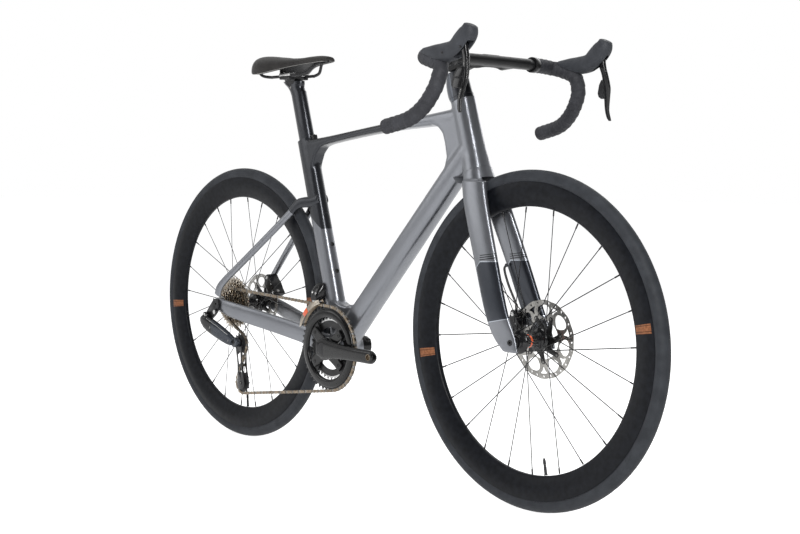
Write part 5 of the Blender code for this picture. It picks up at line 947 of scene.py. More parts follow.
def hood(side, word):
    rows = smooth_rows(HOOD, 6)
    path = [BAR_AT + Vector((x, side * HOOD_SIDE, z)) for x, z, _, _ in rows]
    along = tangents(path)
    rings = [section(point, SIDE, square_up(forward), wide, high, 2.3, 36)
             for (_, _, high, wide), point, forward in zip(rows, path, along)]
    centre = sum(rings[-1], Vector()) / len(rings[-1])
    rings.append([centre + (p - centre) * 0.72 + along[-1] * 0.0016 for p in rings[-1]])
    y = side * LEVER_SIDE
    slot = box((PIVOT_X - 0.022, y - 0.007, PIVOT_Z - 0.06), (PIVOT_X + 0.06, y + 0.007, PIVOT_Z + 0.0105))
    item = moulded([skin(rings)], 0.0011, 4, tube(drop_path(side), 0.0160, 40), slot)
    dress(item, "hood_cover_" + word, hood_rubber, "steering", ["hood_" + word])
    outer = side * (HOOD_SIDE + 0.0166)
    screw = bolt(Vector((BAR_AT.x + 0.172, outer, BAR_AT.z + 0.0135)), SIDE * side, 0.0026, 0.0009)
    piece("hood_screws_" + word, [(screw, alloy)], "steering")


def lever_side(side, drop):
    return side * (LEVER_SIDE + 0.0185 * max(0.0, (-0.016 - drop) / 0.107))


def lever(side, word):
    rows = smooth_rows([(z, x, chord, 0.006 - 0.0006 * i) for i, (z, x, chord) in enumerate(LEVER)], 6)

    def at(row, forward=0.0, out=0.0):
        z, x, chord, wide = row
        return Vector((PIVOT_X + x + chord * forward, lever_side(side, z) + side * wide * out, PIVOT_Z + z))

    blade = skin([section(at(row), FORWARD, SIDE, row[2], row[3], 2.9, 32) for row in rows])
    pin = cross_pin(Vector((PIVOT_X, side * LEVER_SIDE, PIVOT_Z)), 0.0120, 0.0022)
    edge = tube([at(row, 0.93) for row in rows[8:-4]], 0.00095, 10)
    seam = tube([at(row, -0.2, 0.98) for row in rows[10:30]], 0.0004, 8)
    piece("lever_blade_" + word, [(blade, gloss), (pin, alloy), (edge, deep_gloss), (seam, dull_steel)],
          "lever_" + word, ["brake_lever_" + word], sharp=50.0)


def paddle(side, word):
    """The two stacked shift buttons on one plate, beside the lever blade."""

    def seat(drop):
        place = by_height([(-z, i) for i, (z, _, _) in enumerate(LEVER)], -drop)[1]
        return abs(lever_side(LEFT, drop)) + 0.006 - 0.0006 * place + GAP

    rear, front = PIVOT_X, PIVOT_X + 0.0095
    slope = (seat(-0.036) - seat(-0.078)) / 0.042
    root = SIDE * side * (seat(-0.078) + slope * 0.078) + UP * PIVOT_Z
    along = UP + SIDE * side * slope
    base = [(front, -0.0365), (rear + 0.001, -0.0365), (rear - 0.008, -0.0385), (rear - 0.0145, -0.0480),
            (rear - 0.0200, -0.0655), (rear - 0.0180, -0.0730), (rear - 0.0120, -0.0770), (front, -0.0775)]
    upper = [(front - 0.0008, -0.0372), (rear + 0.001, -0.0372), (rear - 0.0074, -0.0391),
             (rear - 0.0135, -0.0480), (rear - 0.0158, -0.0556), (front - 0.0008, -0.0556)]
    lower = [(front - 0.0008, -0.0566), (rear - 0.0161, -0.0566), (rear - 0.0190, -0.0658),
             (rear - 0.0172, -0.0722), (rear - 0.0118, -0.0762), (front - 0.0008, -0.0768)]
    parts = [(prism(outline, root + SIDE * side * lift, FORWARD, along, SIDE * side * 0.0012), look)
             for outline, lift, look in ((base, 0.0, nylon), (upper, 0.0010, gloss), (lower, 0.0010, gloss))]
    piece("shift_buttons_" + word, parts, "shift_paddle_" + word, ["shift_paddle_" + word],
          bevel=0.0004)


fork()
spacers()
cockpit()
for side, word in ((RIGHT, "right"), (LEFT, "left")):
    wound_tape(side, word)
    hood(side, word)
    lever(side, word)
    paddle(side, word)


# Wheels

Wheel = namedtuple("Wheel", "name axle flanges ends rotor disc phase valve bands")
FRONT = Wheel("front", FRONT_AXLE, (-0.032, 0.024), (-0.0440, 0.0465), 0.080, 0.040, 3.0, -79.5, (-169.8, 10.0))
REAR = Wheel("rear", REAR_AXLE, (-0.0195, 0.034), (-0.0228, 0.0620), 0.070, 0.0557, 12.5, -85.5, (-175.1, 4.9))


def wheel_piece(wheel, name, parts, node, sharp=35.0):
    nodes = [wheel.name + "_" + node] if node else ()
    piece(wheel.name + "_" + name, parts, wheel.name + "_wheel", nodes, sharp=sharp)


def mirrored(half):
    """A ring's section from its upper half, whose first corner lies on the middle."""
    return half + [(r, -y) for r, y in reversed(half[1:])]


TREAD_LINES = ((0.62, 0.030, 0.00035), (1.42, 0.024, 0.00030), (1.62, 0.020, -0.00012))


def tyre_cover(wheel):
    """A slick tyre: two fine grooves beside the tread and a moulded line on each wall."""
    fat = 0.0145
    centre = 0.340 - fat
    reach = math.acos((0.3173 - centre) / fat)
    count = 44
    outline = []
    for k in range(-count, count + 1):
        a = reach * k / count
        depth = sum(deep * max(0.0, 1 - (abs(abs(a) - line) / half) ** 2)
                    for line, half, deep in TREAD_LINES)
        outline.append((centre + (fat - max(depth, 0.0)) * math.cos(a), (fat - depth) * math.sin(a)))
    outline += [(0.3103, 0.0119), (0.3103, 0.0089), (centre + 0.0127, 0.0), (0.3103, -0.0089),
                (0.3103, -0.0119)]
    wheel_piece(wheel, "tyre_cover", [(turned_ring(outline, wheel.axle, 216, 0.0), tyre_look)], "tyre",
                60.0)


def rim(wheel):
    bend = smooth_rows(((0.2670, 0.0000), (0.2671, 0.0022), (0.2680, 0.0044), (0.2715, 0.0071), (0.2810, 0.0105),
                        (0.2915, 0.0131), (0.3020, 0.0143), (0.3100, 0.0139), (0.3160, 0.0129)), 4)
    outline = mirrored(bend + [(0.3168, 0.0126), (0.3170, 0.0120), (0.3160, 0.01225), (0.3100, 0.0123)])
    look = rim_carbon(wheel.name + "_rim_carbon", wheel.axle, wheel.bands)
    wheel_piece(wheel, "rim_shell", [(turned_ring(outline, wheel.axle, 216, 0.0), look)], "rim",
                50.0)


def spokes(wheel):
    """Bladed spokes with their hub heads and rim nipples."""
    blades, nipples = [], []
    for index in range(24):
        left = index % 2
        lean = 1 if (index // 2) % 2 else -1
        angle = 15.0 * index + wheel.phase
        root = polar(wheel.axle, angle + lean * 60.0, 0.0210, wheel.flanges[left] + lean * 0.0014)
        tip = polar(wheel.axle, angle, 0.2664, 0.0018 if left else -0.0018)
        along = (tip - root).normalized()
        across = along.cross(SIDE).normalized()
        flat = across.cross(along).normalized()
        length = (tip - root).length
        blades.append(skin([section(root + along * length * share, across, flat, wide, thick, 2.4, 12)
                            for share, wide, thick in ((0.0, 0.0010, 0.0010), (0.06, 0.0010, 0.0010),
                                                       (0.10, 0.0011, 0.00048), (0.90, 0.0011, 0.00048),
                                                       (0.95, 0.0010, 0.0009), (1.0, 0.0010, 0.0009))]))
        blades.append(rod(root - along * 0.0018, root + along * 0.0010, 0.0017, 12))
        nipples.append(rod(tip - along * 0.0115, tip - along * 0.0002, 0.00165, 12, 0.0002))
    wheel_piece(wheel, "spokes", [(together(*blades), gloss), (together(*nipples), alloy)], None)


def flange(y, inward):
    """The corners of a hub's flange, from the middle of the hub outwards."""
    return [(0.0130, y + inward * 0.0140), (0.0142, y + inward * 0.0080), (0.0180, y + inward * 0.0034),
            (0.0234, y + inward * 0.0022), (0.0240, y + inward * 0.0016), (0.0240, y - inward * 0.0016)]


def hub(wheel):
    right, left = wheel.flanges
    low, high = wheel.ends
    disc, middle = wheel.disc, (right + left) / 2
    outline = [(0.0089, low), (0.0136, low), (0.0144, low + 0.0010), (0.0160, right - 0.0060),
               (0.0236, right - 0.0022), *reversed(flange(right, 1)), *flange(left, -1), (0.0234, left + 0.0022),
               (0.0175, left + 0.0032), (0.0175, disc + 0.0030), (0.0165, disc + 0.0036), (0.0125, disc + 0.0044),
               (0.0115, disc + 0.0052), (0.0115, high), (0.0089, high)]
    ring = [(0.0178, disc + 0.0012), (0.0205, disc + 0.0012), (0.0205, disc + 0.0040), (0.0198, disc + 0.0048),
            (0.0178, disc + 0.0048)]
    lock = turned_ring(ring, wheel.axle,
                       wave=lambda a, r: -0.0006 if r > 0.0195 and math.cos(a * 24) > 0.2 else 0.0)
    band = turned_ring([(0.0131, middle - 0.006), (0.0134, middle - 0.0055), (0.0134, middle - 0.0015),
                        (0.0131, middle - 0.001)], wheel.axle, 64)
    wheel_piece(wheel, "hub_shell", [(turned_ring(outline, wheel.axle), gloss), (lock, alloy), (band, orange)],
                "hub")


def valve(wheel):
    steps = [(0.2659, 0.0036), (0.2640, 0.0036), (0.2632, 0.0030), (0.2500, 0.0029), (0.2496, 0.0026),
             (0.2440, 0.0026), (0.2438, 0.0030), (0.2400, 0.0030), (0.2360, 0.0026), (0.2330, 0.0016),
             (0.2322, 0.0008)]
    stem = turned(steps, wheel.axle, directions(wheel.valve)[0], 20)
    wheel_piece(wheel, "valve_stem", [(stem, nylon)], "valve", 60.0)


def rotor(wheel):
    """A steel disc with drop-shaped openings and a wavy edge, on a black carrier."""
    size = wheel.rotor / 0.080
    centre = Vector((wheel.axle.x, wheel.disc, wheel.axle.z))
    arms, lean, inner = 7, 14.0, 0.0400 * size

    def opening(angle, low, high, widths, turn):
        out, across = directions(angle + turn)
        rows = [((high - low) / 2 * size * share, wide * size) for share, wide in widths]
        outline = smooth_loop(rows + [(u, -w) for u, w in reversed(rows)], 3)
        at = polar(centre, angle, (low + high) / 2 * size)
        return prism(outline, at - SIDE * 0.004, out, across, SIDE * 0.008)

    def wave(angle, radius):
        return -0.0011 * (0.5 + 0.5 * math.cos(angle * arms * 2)) if radius > 0.06 * size else 0.0

    track = mesh_object("track", turned_ring([(inner, -0.0009), (wheel.rotor, -0.0009), (wheel.rotor, 0.0009),
                                              (inner, 0.0009)], centre, 336, 0.5, wave))
    holes = []
    for k in range(arms):
        a = 360.0 * k / arms + lean
        holes.append(opening(a + 25.7, 0.0432, 0.0692,
                             ((-1.0, 0.0030), (-0.6, 0.0105), (0.0, 0.0160), (0.6, 0.0150), (1.0, 0.0060)), 8))
        holes.append(opening(a + 1.0, 0.0560, 0.0690, ((-1.0, 0.0012), (0.1, 0.0042), (0.9, 0.0088)), 4))
        holes += [opening(a + shift, 0.0722, 0.0768, ((-1.0, 0.0009), (0.0, 0.0019), (1.0, 0.0009)), 40)
                  for shift in (-13.5, 1.0, 15.0, 26.5)]
    cut(track, together(*holes))
    dress(track, wheel.name + "_rotor_track", rotor_steel, wheel.name + "_wheel", [wheel.name + "_rotor"])
    parts = [(turned_ring([(0.0178, -0.0016), (0.0225, -0.0016), (0.0245, -0.0010), (0.0245, 0.0010),
                           (0.0225, 0.0016), (0.0178, 0.0016)], centre), alloy)]
    for k in range(arms):
        spots = [polar(centre, 360.0 * k / arms + bend, r)
                 for r, bend in ((0.0215, -2), (0.030 * size, 4), (0.038 * size, 10), (0.0460 * size, lean),
                                 (0.0500 * size, lean + 1))]
        rings = []
        for p, along, w in zip(spots, tangents(spots), (0.0078, 0.0058, 0.0050, 0.0056, 0.0030)):
            across = along.cross(SIDE).normalized()
            rings.append([p + across * u + SIDE * v for u, v in
                          ((-w, -0.0009), (-w * 0.7, -0.0015), (w * 0.7, -0.0015), (w, -0.0009), (w, 0.0009),
                           (w * 0.7, 0.0015), (-w * 0.7, 0.0015), (-w, 0.0009))])
        parts.append((skin(rings), alloy))
        parts.append((turned([(-0.0019, 0.0022), (-0.0017, 0.0027), (0.0017, 0.0027), (0.0019, 0.0022)], spots[3],
                             SIDE, 20), dull_steel))
    wheel_piece(wheel, "rotor_carrier", parts, None, 30.0)


for wheel in (FRONT, REAR):
    for build in (tyre_cover, rim, spokes, hub, valve, rotor):
        build(wheel)


# Brakes

FRONT_CALIPER, REAR_CALIPER = 163.0, 38.0


def caliper(wheel, angle, body, clear):
    out, along = directions(angle)
    middle = polar(wheel.axle, angle, wheel.rotor - 0.0075, wheel.disc)
    half = [(-0.0085, 0.0150), (-0.0025, 0.0205), (0.0000, 0.0290), (0.0045, 0.0300), (0.0170, 0.0296),
            (0.0177, 0.0150)]
    outline = [(-0.0085, -0.0150), *half, (0.0197, 0.0), *[(u, -v) for u, v in reversed(half[1:])]]
    block = prism(smooth_loop(outline, 3), middle - SIDE * 0.0155, out, along, SIDE * 0.031)
    item = moulded([block], 0.0011, 5,
                   barrel(Vector((wheel.axle.x, wheel.disc, wheel.axle.z)), 0.0037, wheel.rotor + 0.002, 96),
                   *clear)
    name = wheel.name
    dress(item, name + "_caliper_body", gloss, body, [name + "_caliper"])
    parts = [(bolt(middle + out * 0.0105 + along * s + SIDE * sign * 0.0152, SIDE * sign, 0.0042, 0.0012), look)
             for sign, look in ((1, alloy), (-1, steel)) for s in (-0.0225, 0.0225)]
    parts.append((turned([(0, 0.0098), (0.0004, 0.0102), (0.0008, 0.0098), (0.0008, 0.0080)],
                         middle + out * 0.004 - SIDE * 0.0152, -SIDE, 40), deep_gloss))
    parts.append((cross_pin(middle + out * 0.0150, 0.0158, 0.0017, 16), steel))
    parts.append((turned([(0.0, 0.0036), (0.0010, 0.0041), (0.0060, 0.0041), (0.0075, 0.0034), (0.0080, 0.0022)],
                         middle + out * 0.0125 - along * 0.0230 - SIDE * 0.0060, out, 24), dull_steel))
    piece(name + "_caliper_fittings", parts, body)
    for word, sign in (("inner", -1), ("outer", 1)):
        node = "%s_pad_%s" % (name, word)
        layers = []
        for low, high, wide, y, thick, look in ((-0.0062, 0.0060, 0.0115, 0.0014, 0.0009, lining),
                                                (-0.0065, 0.0064, 0.0120, 0.0023, 0.0010, dull_steel)):
            layers.append((prism([(low, -wide), (low, wide), (high, 0.0092), (high, -0.0092)],
                                 middle + SIDE * sign * y, out, along, SIDE * sign * thick), look))
        piece(node + "_lined", layers, node, [node], bevel=0.0002)


def hose():
    out, along = directions(FRONT_CALIPER)
    end = polar(FRONT_AXLE, FRONT_CALIPER, 0.0725, 0.040) - along * 0.0312 + out * 0.010
    end.y = 0.034
    start = FRONT_AXLE + Vector((-0.0980, 0.0330, 0.1450))
    path = smooth_path([start, start + Vector((-0.004, -0.003, -0.010)),
                        start.lerp(end, 0.45) + Vector((-0.006, -0.002, 0)), end + Vector((-0.003, 0, 0.014)),
                        end], 10)
    collar = turned([(-0.012, 0.0028), (-0.011, 0.0032), (-0.004, 0.0032), (-0.003, 0.0025)], path[-1],
                    path[-1] - path[-4], 20)
    grommet = turned([(-0.0010, 0.0030), (0.0005, 0.0038), (0.0030, 0.0036), (0.0040, 0.0028)], path[0],
                     path[3] - path[0], 20)
    piece("front_brake_hose", [(tube(path, 0.0025, 20, FORWARD), hose_look), (collar, dull_steel),
                               (grommet, hood_rubber)], "steering", ["front_hose"])


caliper(FRONT, FRONT_CALIPER, "steering", [fork_leg(LEFT, 0.0010)])
caliper(REAR, REAR_CALIPER, "frame", [stay(BB, CHAINSTAY, LEFT, (0.0012, 0.0012)),
                                      stay(STAY_JOIN, SEATSTAY, LEFT, (0.0012, 0.0012))])
hose()


# Drivetrain

TOOTH = ((-0.24, -0.0026), (-0.12, -0.0036), (0.0, -0.0039), (0.12, -0.0036), (0.24, -0.0026), (0.33, -0.0006),
         (0.42, 0.0014), (0.47, 0.0022), (0.53, 0.0022), (0.58, 0.0014), (0.67, -0.0006))
ARM = ((-0.0200, 0.0170, 0.0), (0.0000, 0.0228, 0.0), (0.0300, 0.0198, 0.0015), (0.0700, 0.0165, 0.0035),
       (0.1300, 0.0150, 0.0060), (0.1725, 0.0149, 0.0070), (0.1815, 0.0122, 0.0070), (0.1860, 0.0070, 0.0070),
       (0.1873, 0.0030, 0.0070))
CAGE = ((-0.0170, 0.0030), (-0.0150, 0.0082), (-0.0090, 0.0128), (0.0000, 0.0144), (0.0120, 0.0138),
        (0.0300, 0.0112), (0.0480, 0.0102), (0.0680, 0.0112), (0.0830, 0.0140))
HOUSING = ((-0.0420, -0.0070, -0.0330, 0.0085, 0.0066), (-0.0365, -0.0078, -0.0425, 0.0140, 0.0086),
           (-0.0190, -0.0030, -0.0545, 0.0178, 0.0096), (0.0070, 0.0040, -0.0685, 0.0182, 0.0094),
           (0.0320, 0.0140, -0.0835, 0.0158, 0.0086), (0.0470, 0.0200, -0.0915, 0.0115, 0.0074))


def toothed(centre, teeth, phase, y, half, inner):
    """A toothed ring with broken edges and a round hole."""
    radius, turn = pitch_radius(teeth), 2 * math.pi / teeth
    corners = [((k + share) * turn + phase, radius + rise) for k in range(teeth) for share, rise in TOOTH]

    def loop(at, less):
        return [Vector((centre.x + (r - less) * math.cos(a), at, centre.z + (r - less) * math.sin(a)))
                for a, r in corners]

    loops = [loop(y - half, 0.0005), loop(y - half + 0.0004, 0.0), loop(y + half - 0.0004, 0.0),
             loop(y + half, 0.0005)]
    for side in (y + half, y - half):
        loops.append([Vector((centre.x, side, centre.z))
                      + Vector((p.x - centre.x, 0, p.z - centre.z)).normalized() * inner for p in loops[0]])
    return skin(loops, closed=True)


def chain_path():
    """The chain's round: cog, big ring, tension pulley and guide pulley, as dense points."""
    stops = [(Vector((at.x, at.z)), pitch_radius(teeth), sign) for at, teeth, sign in
             ((REAR_AXLE, COG_IN_USE, 1), (BB, BIG_RING, 1), (TENSION_AT, PULLEY, 1), (GUIDE_AT, PULLEY, -1))]
    joins = []
    for (a, r1, s1), (b, r2, s2) in zip(stops, stops[1:] + stops[:1]):
        d = b - a
        turn = math.atan2(d.y, d.x) + math.acos((r1 * s1 - r2 * s2) / d.length)
        normal = Vector((math.cos(turn), math.sin(turn)))
        joins.append((a + normal * r1 * s1, b + normal * r2 * s2))
    points = []
    for i, (centre, radius, sign) in enumerate(stops):
        start, end = joins[i - 1][1] - centre, joins[i][0] - centre
        a0, a1 = math.atan2(start.y, start.x), math.atan2(end.y, end.x)
        while (a1 - a0) * sign > 0:
            a1 -= 2 * math.pi * sign
        steps = max(8, int(abs(a1 - a0) / 0.01))
        for k in range(steps):
            a = a0 + (a1 - a0) * k / steps
            points.append(centre + Vector((math.cos(a), math.sin(a))) * radius)
        points += [joins[i][0].lerp(joins[i][1], k / 60) for k in range(60)]
    return points


def rollers():
    points = chain_path()
    points.append(points[0])
    run = running_length(points)
    count = 2 * round(run[-1] / CHAIN_PITCH / 2)
    found, i = [], 0
    for k in range(count):
        s = run[-1] * k / count
        while run[i + 1] < s:
            i += 1
        found.append(points[i].lerp(points[i + 1], (s - run[i]) / (run[i + 1] - run[i])))
    return found


PINS = rollers()


def phase_at(centre, teeth):
    """The tooth phase that puts a valley under a roller on this sprocket."""
    c = Vector((centre.x, centre.z))
    best = min(PINS, key=lambda p: abs((p - c).length - pitch_radius(teeth)))
    return math.atan2(best.y - c.y, best.x - c.x)


def link_plate(p, q, y, thick, high):
    """One side plate of a link, waisted between its two pins."""
    along = (q - p).normalized()
    off = Vector((-along.y, along.x))
    half = (q - p).length / 2
    outline = []
    for k in range(20):
        u, v = math.cos(2 * math.pi * (k + 0.5) / 20), math.sin(2 * math.pi * (k + 0.5) / 20)
        x, z = math.copysign(half, u) + high * u, high * v
        if abs(u) < 0.35:
            x, z = math.copysign(half * 0.45, u), math.copysign(high * 0.72, v)
        outline.append(tuple((p + q) / 2 + along * x + off * z))
    return plate(outline, y, thick)


def chain():
    inner, outer, pins = [], [], []
    for i, p in enumerate(PINS):
        q = PINS[(i + 1) % len(PINS)]
        for side in (LEFT, RIGHT):
            if i % 2:
                outer.append(link_plate(p, q, CHAIN_Y + side * 0.00185, side * 0.00080, 0.0040))
            else:
                inner.append(link_plate(p, q, CHAIN_Y + side * 0.00110, side * 0.00070, 0.0041))
        pins.append(barrel((p.x, CHAIN_Y, p.y), 0.0029, 0.0016, 10))
        pins.append(barrel((p.x, CHAIN_Y, p.y), 0.00105, 0.0038, 14))
    piece("chain_links", [(together(*outer), bronze), (together(*inner), dull_steel),
                          (together(*pins), chain_pin)], "frame", ["chain"], sharp=40.0)


def cassette():
    parts = []
    for k, teeth in enumerate(COGS):
        y = FIRST_COG_Y + k * COG_PITCH
        inner = max(0.0176, pitch_radius(teeth) - 0.0150) if teeth > 17 else 0.0176
        phase = phase_at(REAR_AXLE, teeth) if teeth == COG_IN_USE else 0.37 * k
        parts.append((toothed(REAR_AXLE, teeth, phase, y, 0.00075, inner), cog_steel if k % 3 else bronze))
        for a in [72.0 * n + 9 * k for n in range(5)] if teeth > 17 else ():
            low, high = polar(REAR_AXLE, a, 0.0172, y), polar(REAR_AXLE, a + 14, inner + 0.003, y)
            parts.append((prism([(0, -0.0045), (1, -0.003), (1, 0.003), (0, 0.0045)], low - SIDE * 0.0006,
                                high - low, (high - low).normalized().cross(SIDE), SIDE * 0.0012), alloy))
        if k < len(COGS) - 1:
            parts.append((turned_ring([(0.0164, y + 0.0008), (0.0182, y + 0.0008), (0.0182, y + 0.0026),
                                       (0.0164, y + 0.0026)], REAR_AXLE, 48), alloy))
    y = FIRST_COG_Y
    lock = turned_ring([(0.0120, y - 0.0022), (0.0185, y - 0.0022), (0.0190, y - 0.0016), (0.0190, y - 0.0009),
                        (0.0120, y - 0.0009)], REAR_AXLE,
                       wave=lambda a, r: 0.0010 if r < 0.013 and math.cos(a * 12) > 0 else 0.0)
    piece("cassette_cogs", parts + [(lock, dull_steel)], "cassette", ["cassette"], sharp=30.0)


def radial_tab(angle, low, high, half_low, half_high, y0, y1):
    out, across = directions(angle)
    middle = ((low + high) / 2, (half_low + half_high) / 2 * 0.93)
    outline = [(low, -half_low), (middle[0], -middle[1]), (high, -half_high), (high + 0.001, 0.0),
               (high, half_high), middle, (low, half_low)]
    return prism(outline, BB + SIDE * y0, out, across, SIDE * (y1 - y0))


def chainrings():
    rim_at = pitch_radius(BIG_RING) - 0.0038
    hole, y = rim_at - 0.0220, CHAIN_Y
    cover = smooth_rows([(hole, y + 0.0008), (hole - 0.0002, y - 0.0026), (hole + 0.0012, y - 0.0046),
                         (hole + 0.0045, y - 0.0061), (hole + 0.0100, y - 0.0061), (rim_at - 0.0062, y - 0.0052),
                         (rim_at - 0.0030, y - 0.0030), (rim_at - 0.0020, y - 0.0012),
                         (rim_at - 0.0022, y + 0.0008)], 4)
    parts = [(toothed(BB, BIG_RING, phase_at(BB, BIG_RING), y, 0.0010, rim_at - 0.004), alloy),
             (turned_ring(cover, BB, 192), deep_gloss)]
    parts += [(radial_tab(angle, 0.0490, hole + 0.005, 0.0130, 0.0230, y - 0.0009, y + 0.0009), alloy)
              for angle in SPIDER_ANGLES]
    piece("big_ring_dressed", parts, "crankset", ["chainring_outer"])
    edge, inner_y = pitch_radius(SMALL_RING) - 0.0075, INNER_RING_Y
    body = turned_ring([(0.0490, inner_y - 0.0012), (edge + 0.001, inner_y - 0.0012),
                        (edge + 0.001, inner_y + 0.0012), (0.0490, inner_y + 0.0012)], BB, 160)
    bosses = [turned([(y + 0.0013, 0.0050), (inner_y, 0.0050)], polar(BB, angle, 0.055), SIDE, 24)
              for angle in SPIDER_ANGLES]
    piece("small_ring_dressed", [(toothed(BB, SMALL_RING, 0.0, inner_y, 0.0010, edge), steel), (body, alloy),
                                 (together(*bosses), dull_steel)], "crankset", ["chainring_inner"],
          sharp=30.0)


def arm_shape(side, forward):
    return skin([section(BB + FORWARD * forward * u + SIDE * side * (ARM_ROOT_Y + shift), SIDE, UP, 0.00725,
                         max(high, 0.001), 3.2) for u, high, shift in smooth_rows(ARM, 5)])


def cranks():
    root, face = ARM_ROOT_Y, ARM_ROOT_Y + 0.00625
    eyes = [BB + FORWARD * forward * CRANK for forward in (1, -1)]
    shapes = [arm_shape(RIGHT, 1), turned([(-root, 0.0265), (SPIDER_FACE - 0.0005, 0.0260)], BB, SIDE, 64)]
    shapes += [radial_tab(angle, 0.012, 0.0640, 0.0165, 0.0105, SPIDER_FACE - 0.0058, SPIDER_FACE)
               for angle in SPIDER_ANGLES]
    item = moulded(shapes, 0.0011, 5, barrel(eyes[0], 0.1, EYE_RADIUS, 40),
                   box((-0.08, SPIDER_FACE, -0.08), (0.08, 0.0, 0.08), BB))
    dress(item, "crank_arm_right", deep_gloss, "crankset", ["crank_right"])
    parts = [(turned([(-0.0560, 0.0120), (0.0660, 0.0120)], BB), alloy),
             (turned([(-0.0470, 0.0175), (-0.0375, 0.0175)], BB, SIDE, 64), alloy),
             (turned([(-0.0672, 0.0118), (-0.0668, 0.0140), (-0.0662, 0.0150), (-0.0655, 0.0150)], BB, SIDE, 56),
              nylon)]
    for eye, y in zip(eyes, (-root - 0.0070, root + 0.0070)):
        parts.append((turned_ring([(0.0062, y - 0.0073), (EYE_RADIUS, y - 0.0074), (EYE_RADIUS, y + 0.0074),
                                   (0.0062, y + 0.0073), (0.00585, y + 0.0062), (0.00585, y - 0.0062)], eye, 48),
                      bronze))
    parts += [(bolt(polar(BB, angle, 0.055, SPIDER_FACE - 0.0056), -SIDE, 0.0047, 0.0010, 0.55), alloy)
              for angle in SPIDER_ANGLES]
    piece("crank_fittings", parts, "crankset")
    boss = turned([(0.0375, 0.0190), (root, 0.0220), (face, 0.0220)], BB, SIDE, 64)
    item = moulded([arm_shape(LEFT, -1), boss], 0.0011, 5, barrel(eyes[1], 0.1, EYE_RADIUS, 40),
                   turned([(0.0, 0.0123), (face + 0.002, 0.0123)], BB))
    dress(item, "crank_arm_left", deep_gloss, "crankset", ["crank_left"])
    pinch = [(rod(BB + Vector((-0.020, root - 0.001, z)), BB + Vector((-0.0200, root - 0.001, z * 2.15)), 0.0030),
              steel) for z in (0.0105, -0.0105)]
    preload = turned([(root + 0.0062, 0.0108), (root + 0.0068, 0.0112), (root + 0.0074, 0.0100)], BB)
    piece("crank_pinch_bolts", pinch + [(preload, nylon)], "crankset")


def pulleys():
    for name, centre in (("guide_pulley", GUIDE_AT), ("tension_pulley", TENSION_AT)):
        ring = toothed(centre, PULLEY, phase_at(centre, PULLEY), CHAIN_Y, 0.0010, 0.0105)
        hub_part = turned_ring([(0.0036, -0.0012), (0.0080, -0.0012), (0.0085, -0.0006), (0.0115, -0.0005),
                                (0.0115, 0.0005), (0.0085, 0.0006), (0.0080, 0.0012), (0.0036, 0.0012)],
                               centre, 48)
        piece(name + "_wheel", [(ring, nylon), (hub_part, alloy)], name, [name], sharp=30.0)


def derailleur_cage():
    """Two cage plates with long openings, joined by the pulleys' pins."""
    top, bottom = [Vector((at.x, at.z)) for at in (GUIDE_AT, TENSION_AT)]
    along = (bottom - top).normalized()
    across = Vector((-along.y, along.x))
    length = (bottom - top).length

    def at(s, w):
        return tuple(top + along * s + across * w)

    spots = [*CAGE, (length, 0.0160), (length + 0.0090, 0.0150), (length + 0.0145, 0.0105),
             (length + 0.0168, 0.0040)]
    outline = [at(s, w) for s, w in spots] + [at(s, -w) for s, w in reversed(spots)]
    for side, word, nodes in ((RIGHT, "right", ["rear_derailleur_cage"]), (LEFT, "left", ())):
        y = CHAIN_Y + side * CAGE_HALF
        slots = []
        for s0, s1, w0, w1 in ((0.0180, 0.0500, 0.0056, 0.0042), (0.0560, 0.0730, 0.0042, 0.0062)):
            loop = smooth_loop([(s0, 0.0), (s0 + 0.003, w0), (s1 - 0.003, w1), (s1, 0.0), (s1 - 0.003, -w1),
                                (s0 + 0.003, -w0)], 4)
            slots.append(plate([at(s, w) for s, w in loop], y - 0.004, 0.008))
        item = cut(mesh_object("cage", plate(outline, y, side * 0.0014)), together(*slots))
        dress(item, "cage_plate_" + word, gloss, "frame", nodes, bevel=0.0003)
    parts = []
    for centre in (GUIDE_AT, TENSION_AT):
        parts.append((cross_pin(centre, 0.0080, 0.0031), dull_steel))
        parts.append((bolt(centre - SIDE * 0.0076, -SIDE, 0.0046, 0.0010), alloy))
    edge = [at(s, -w * 0.86) for s, w in spots[3:10]]
    line = tube([Vector((x, CHAIN_Y - 0.0077, z)) for x, z in edge], 0.0005, 8, SIDE)
    piece("cage_pins", parts + [(line, steel)], "frame")


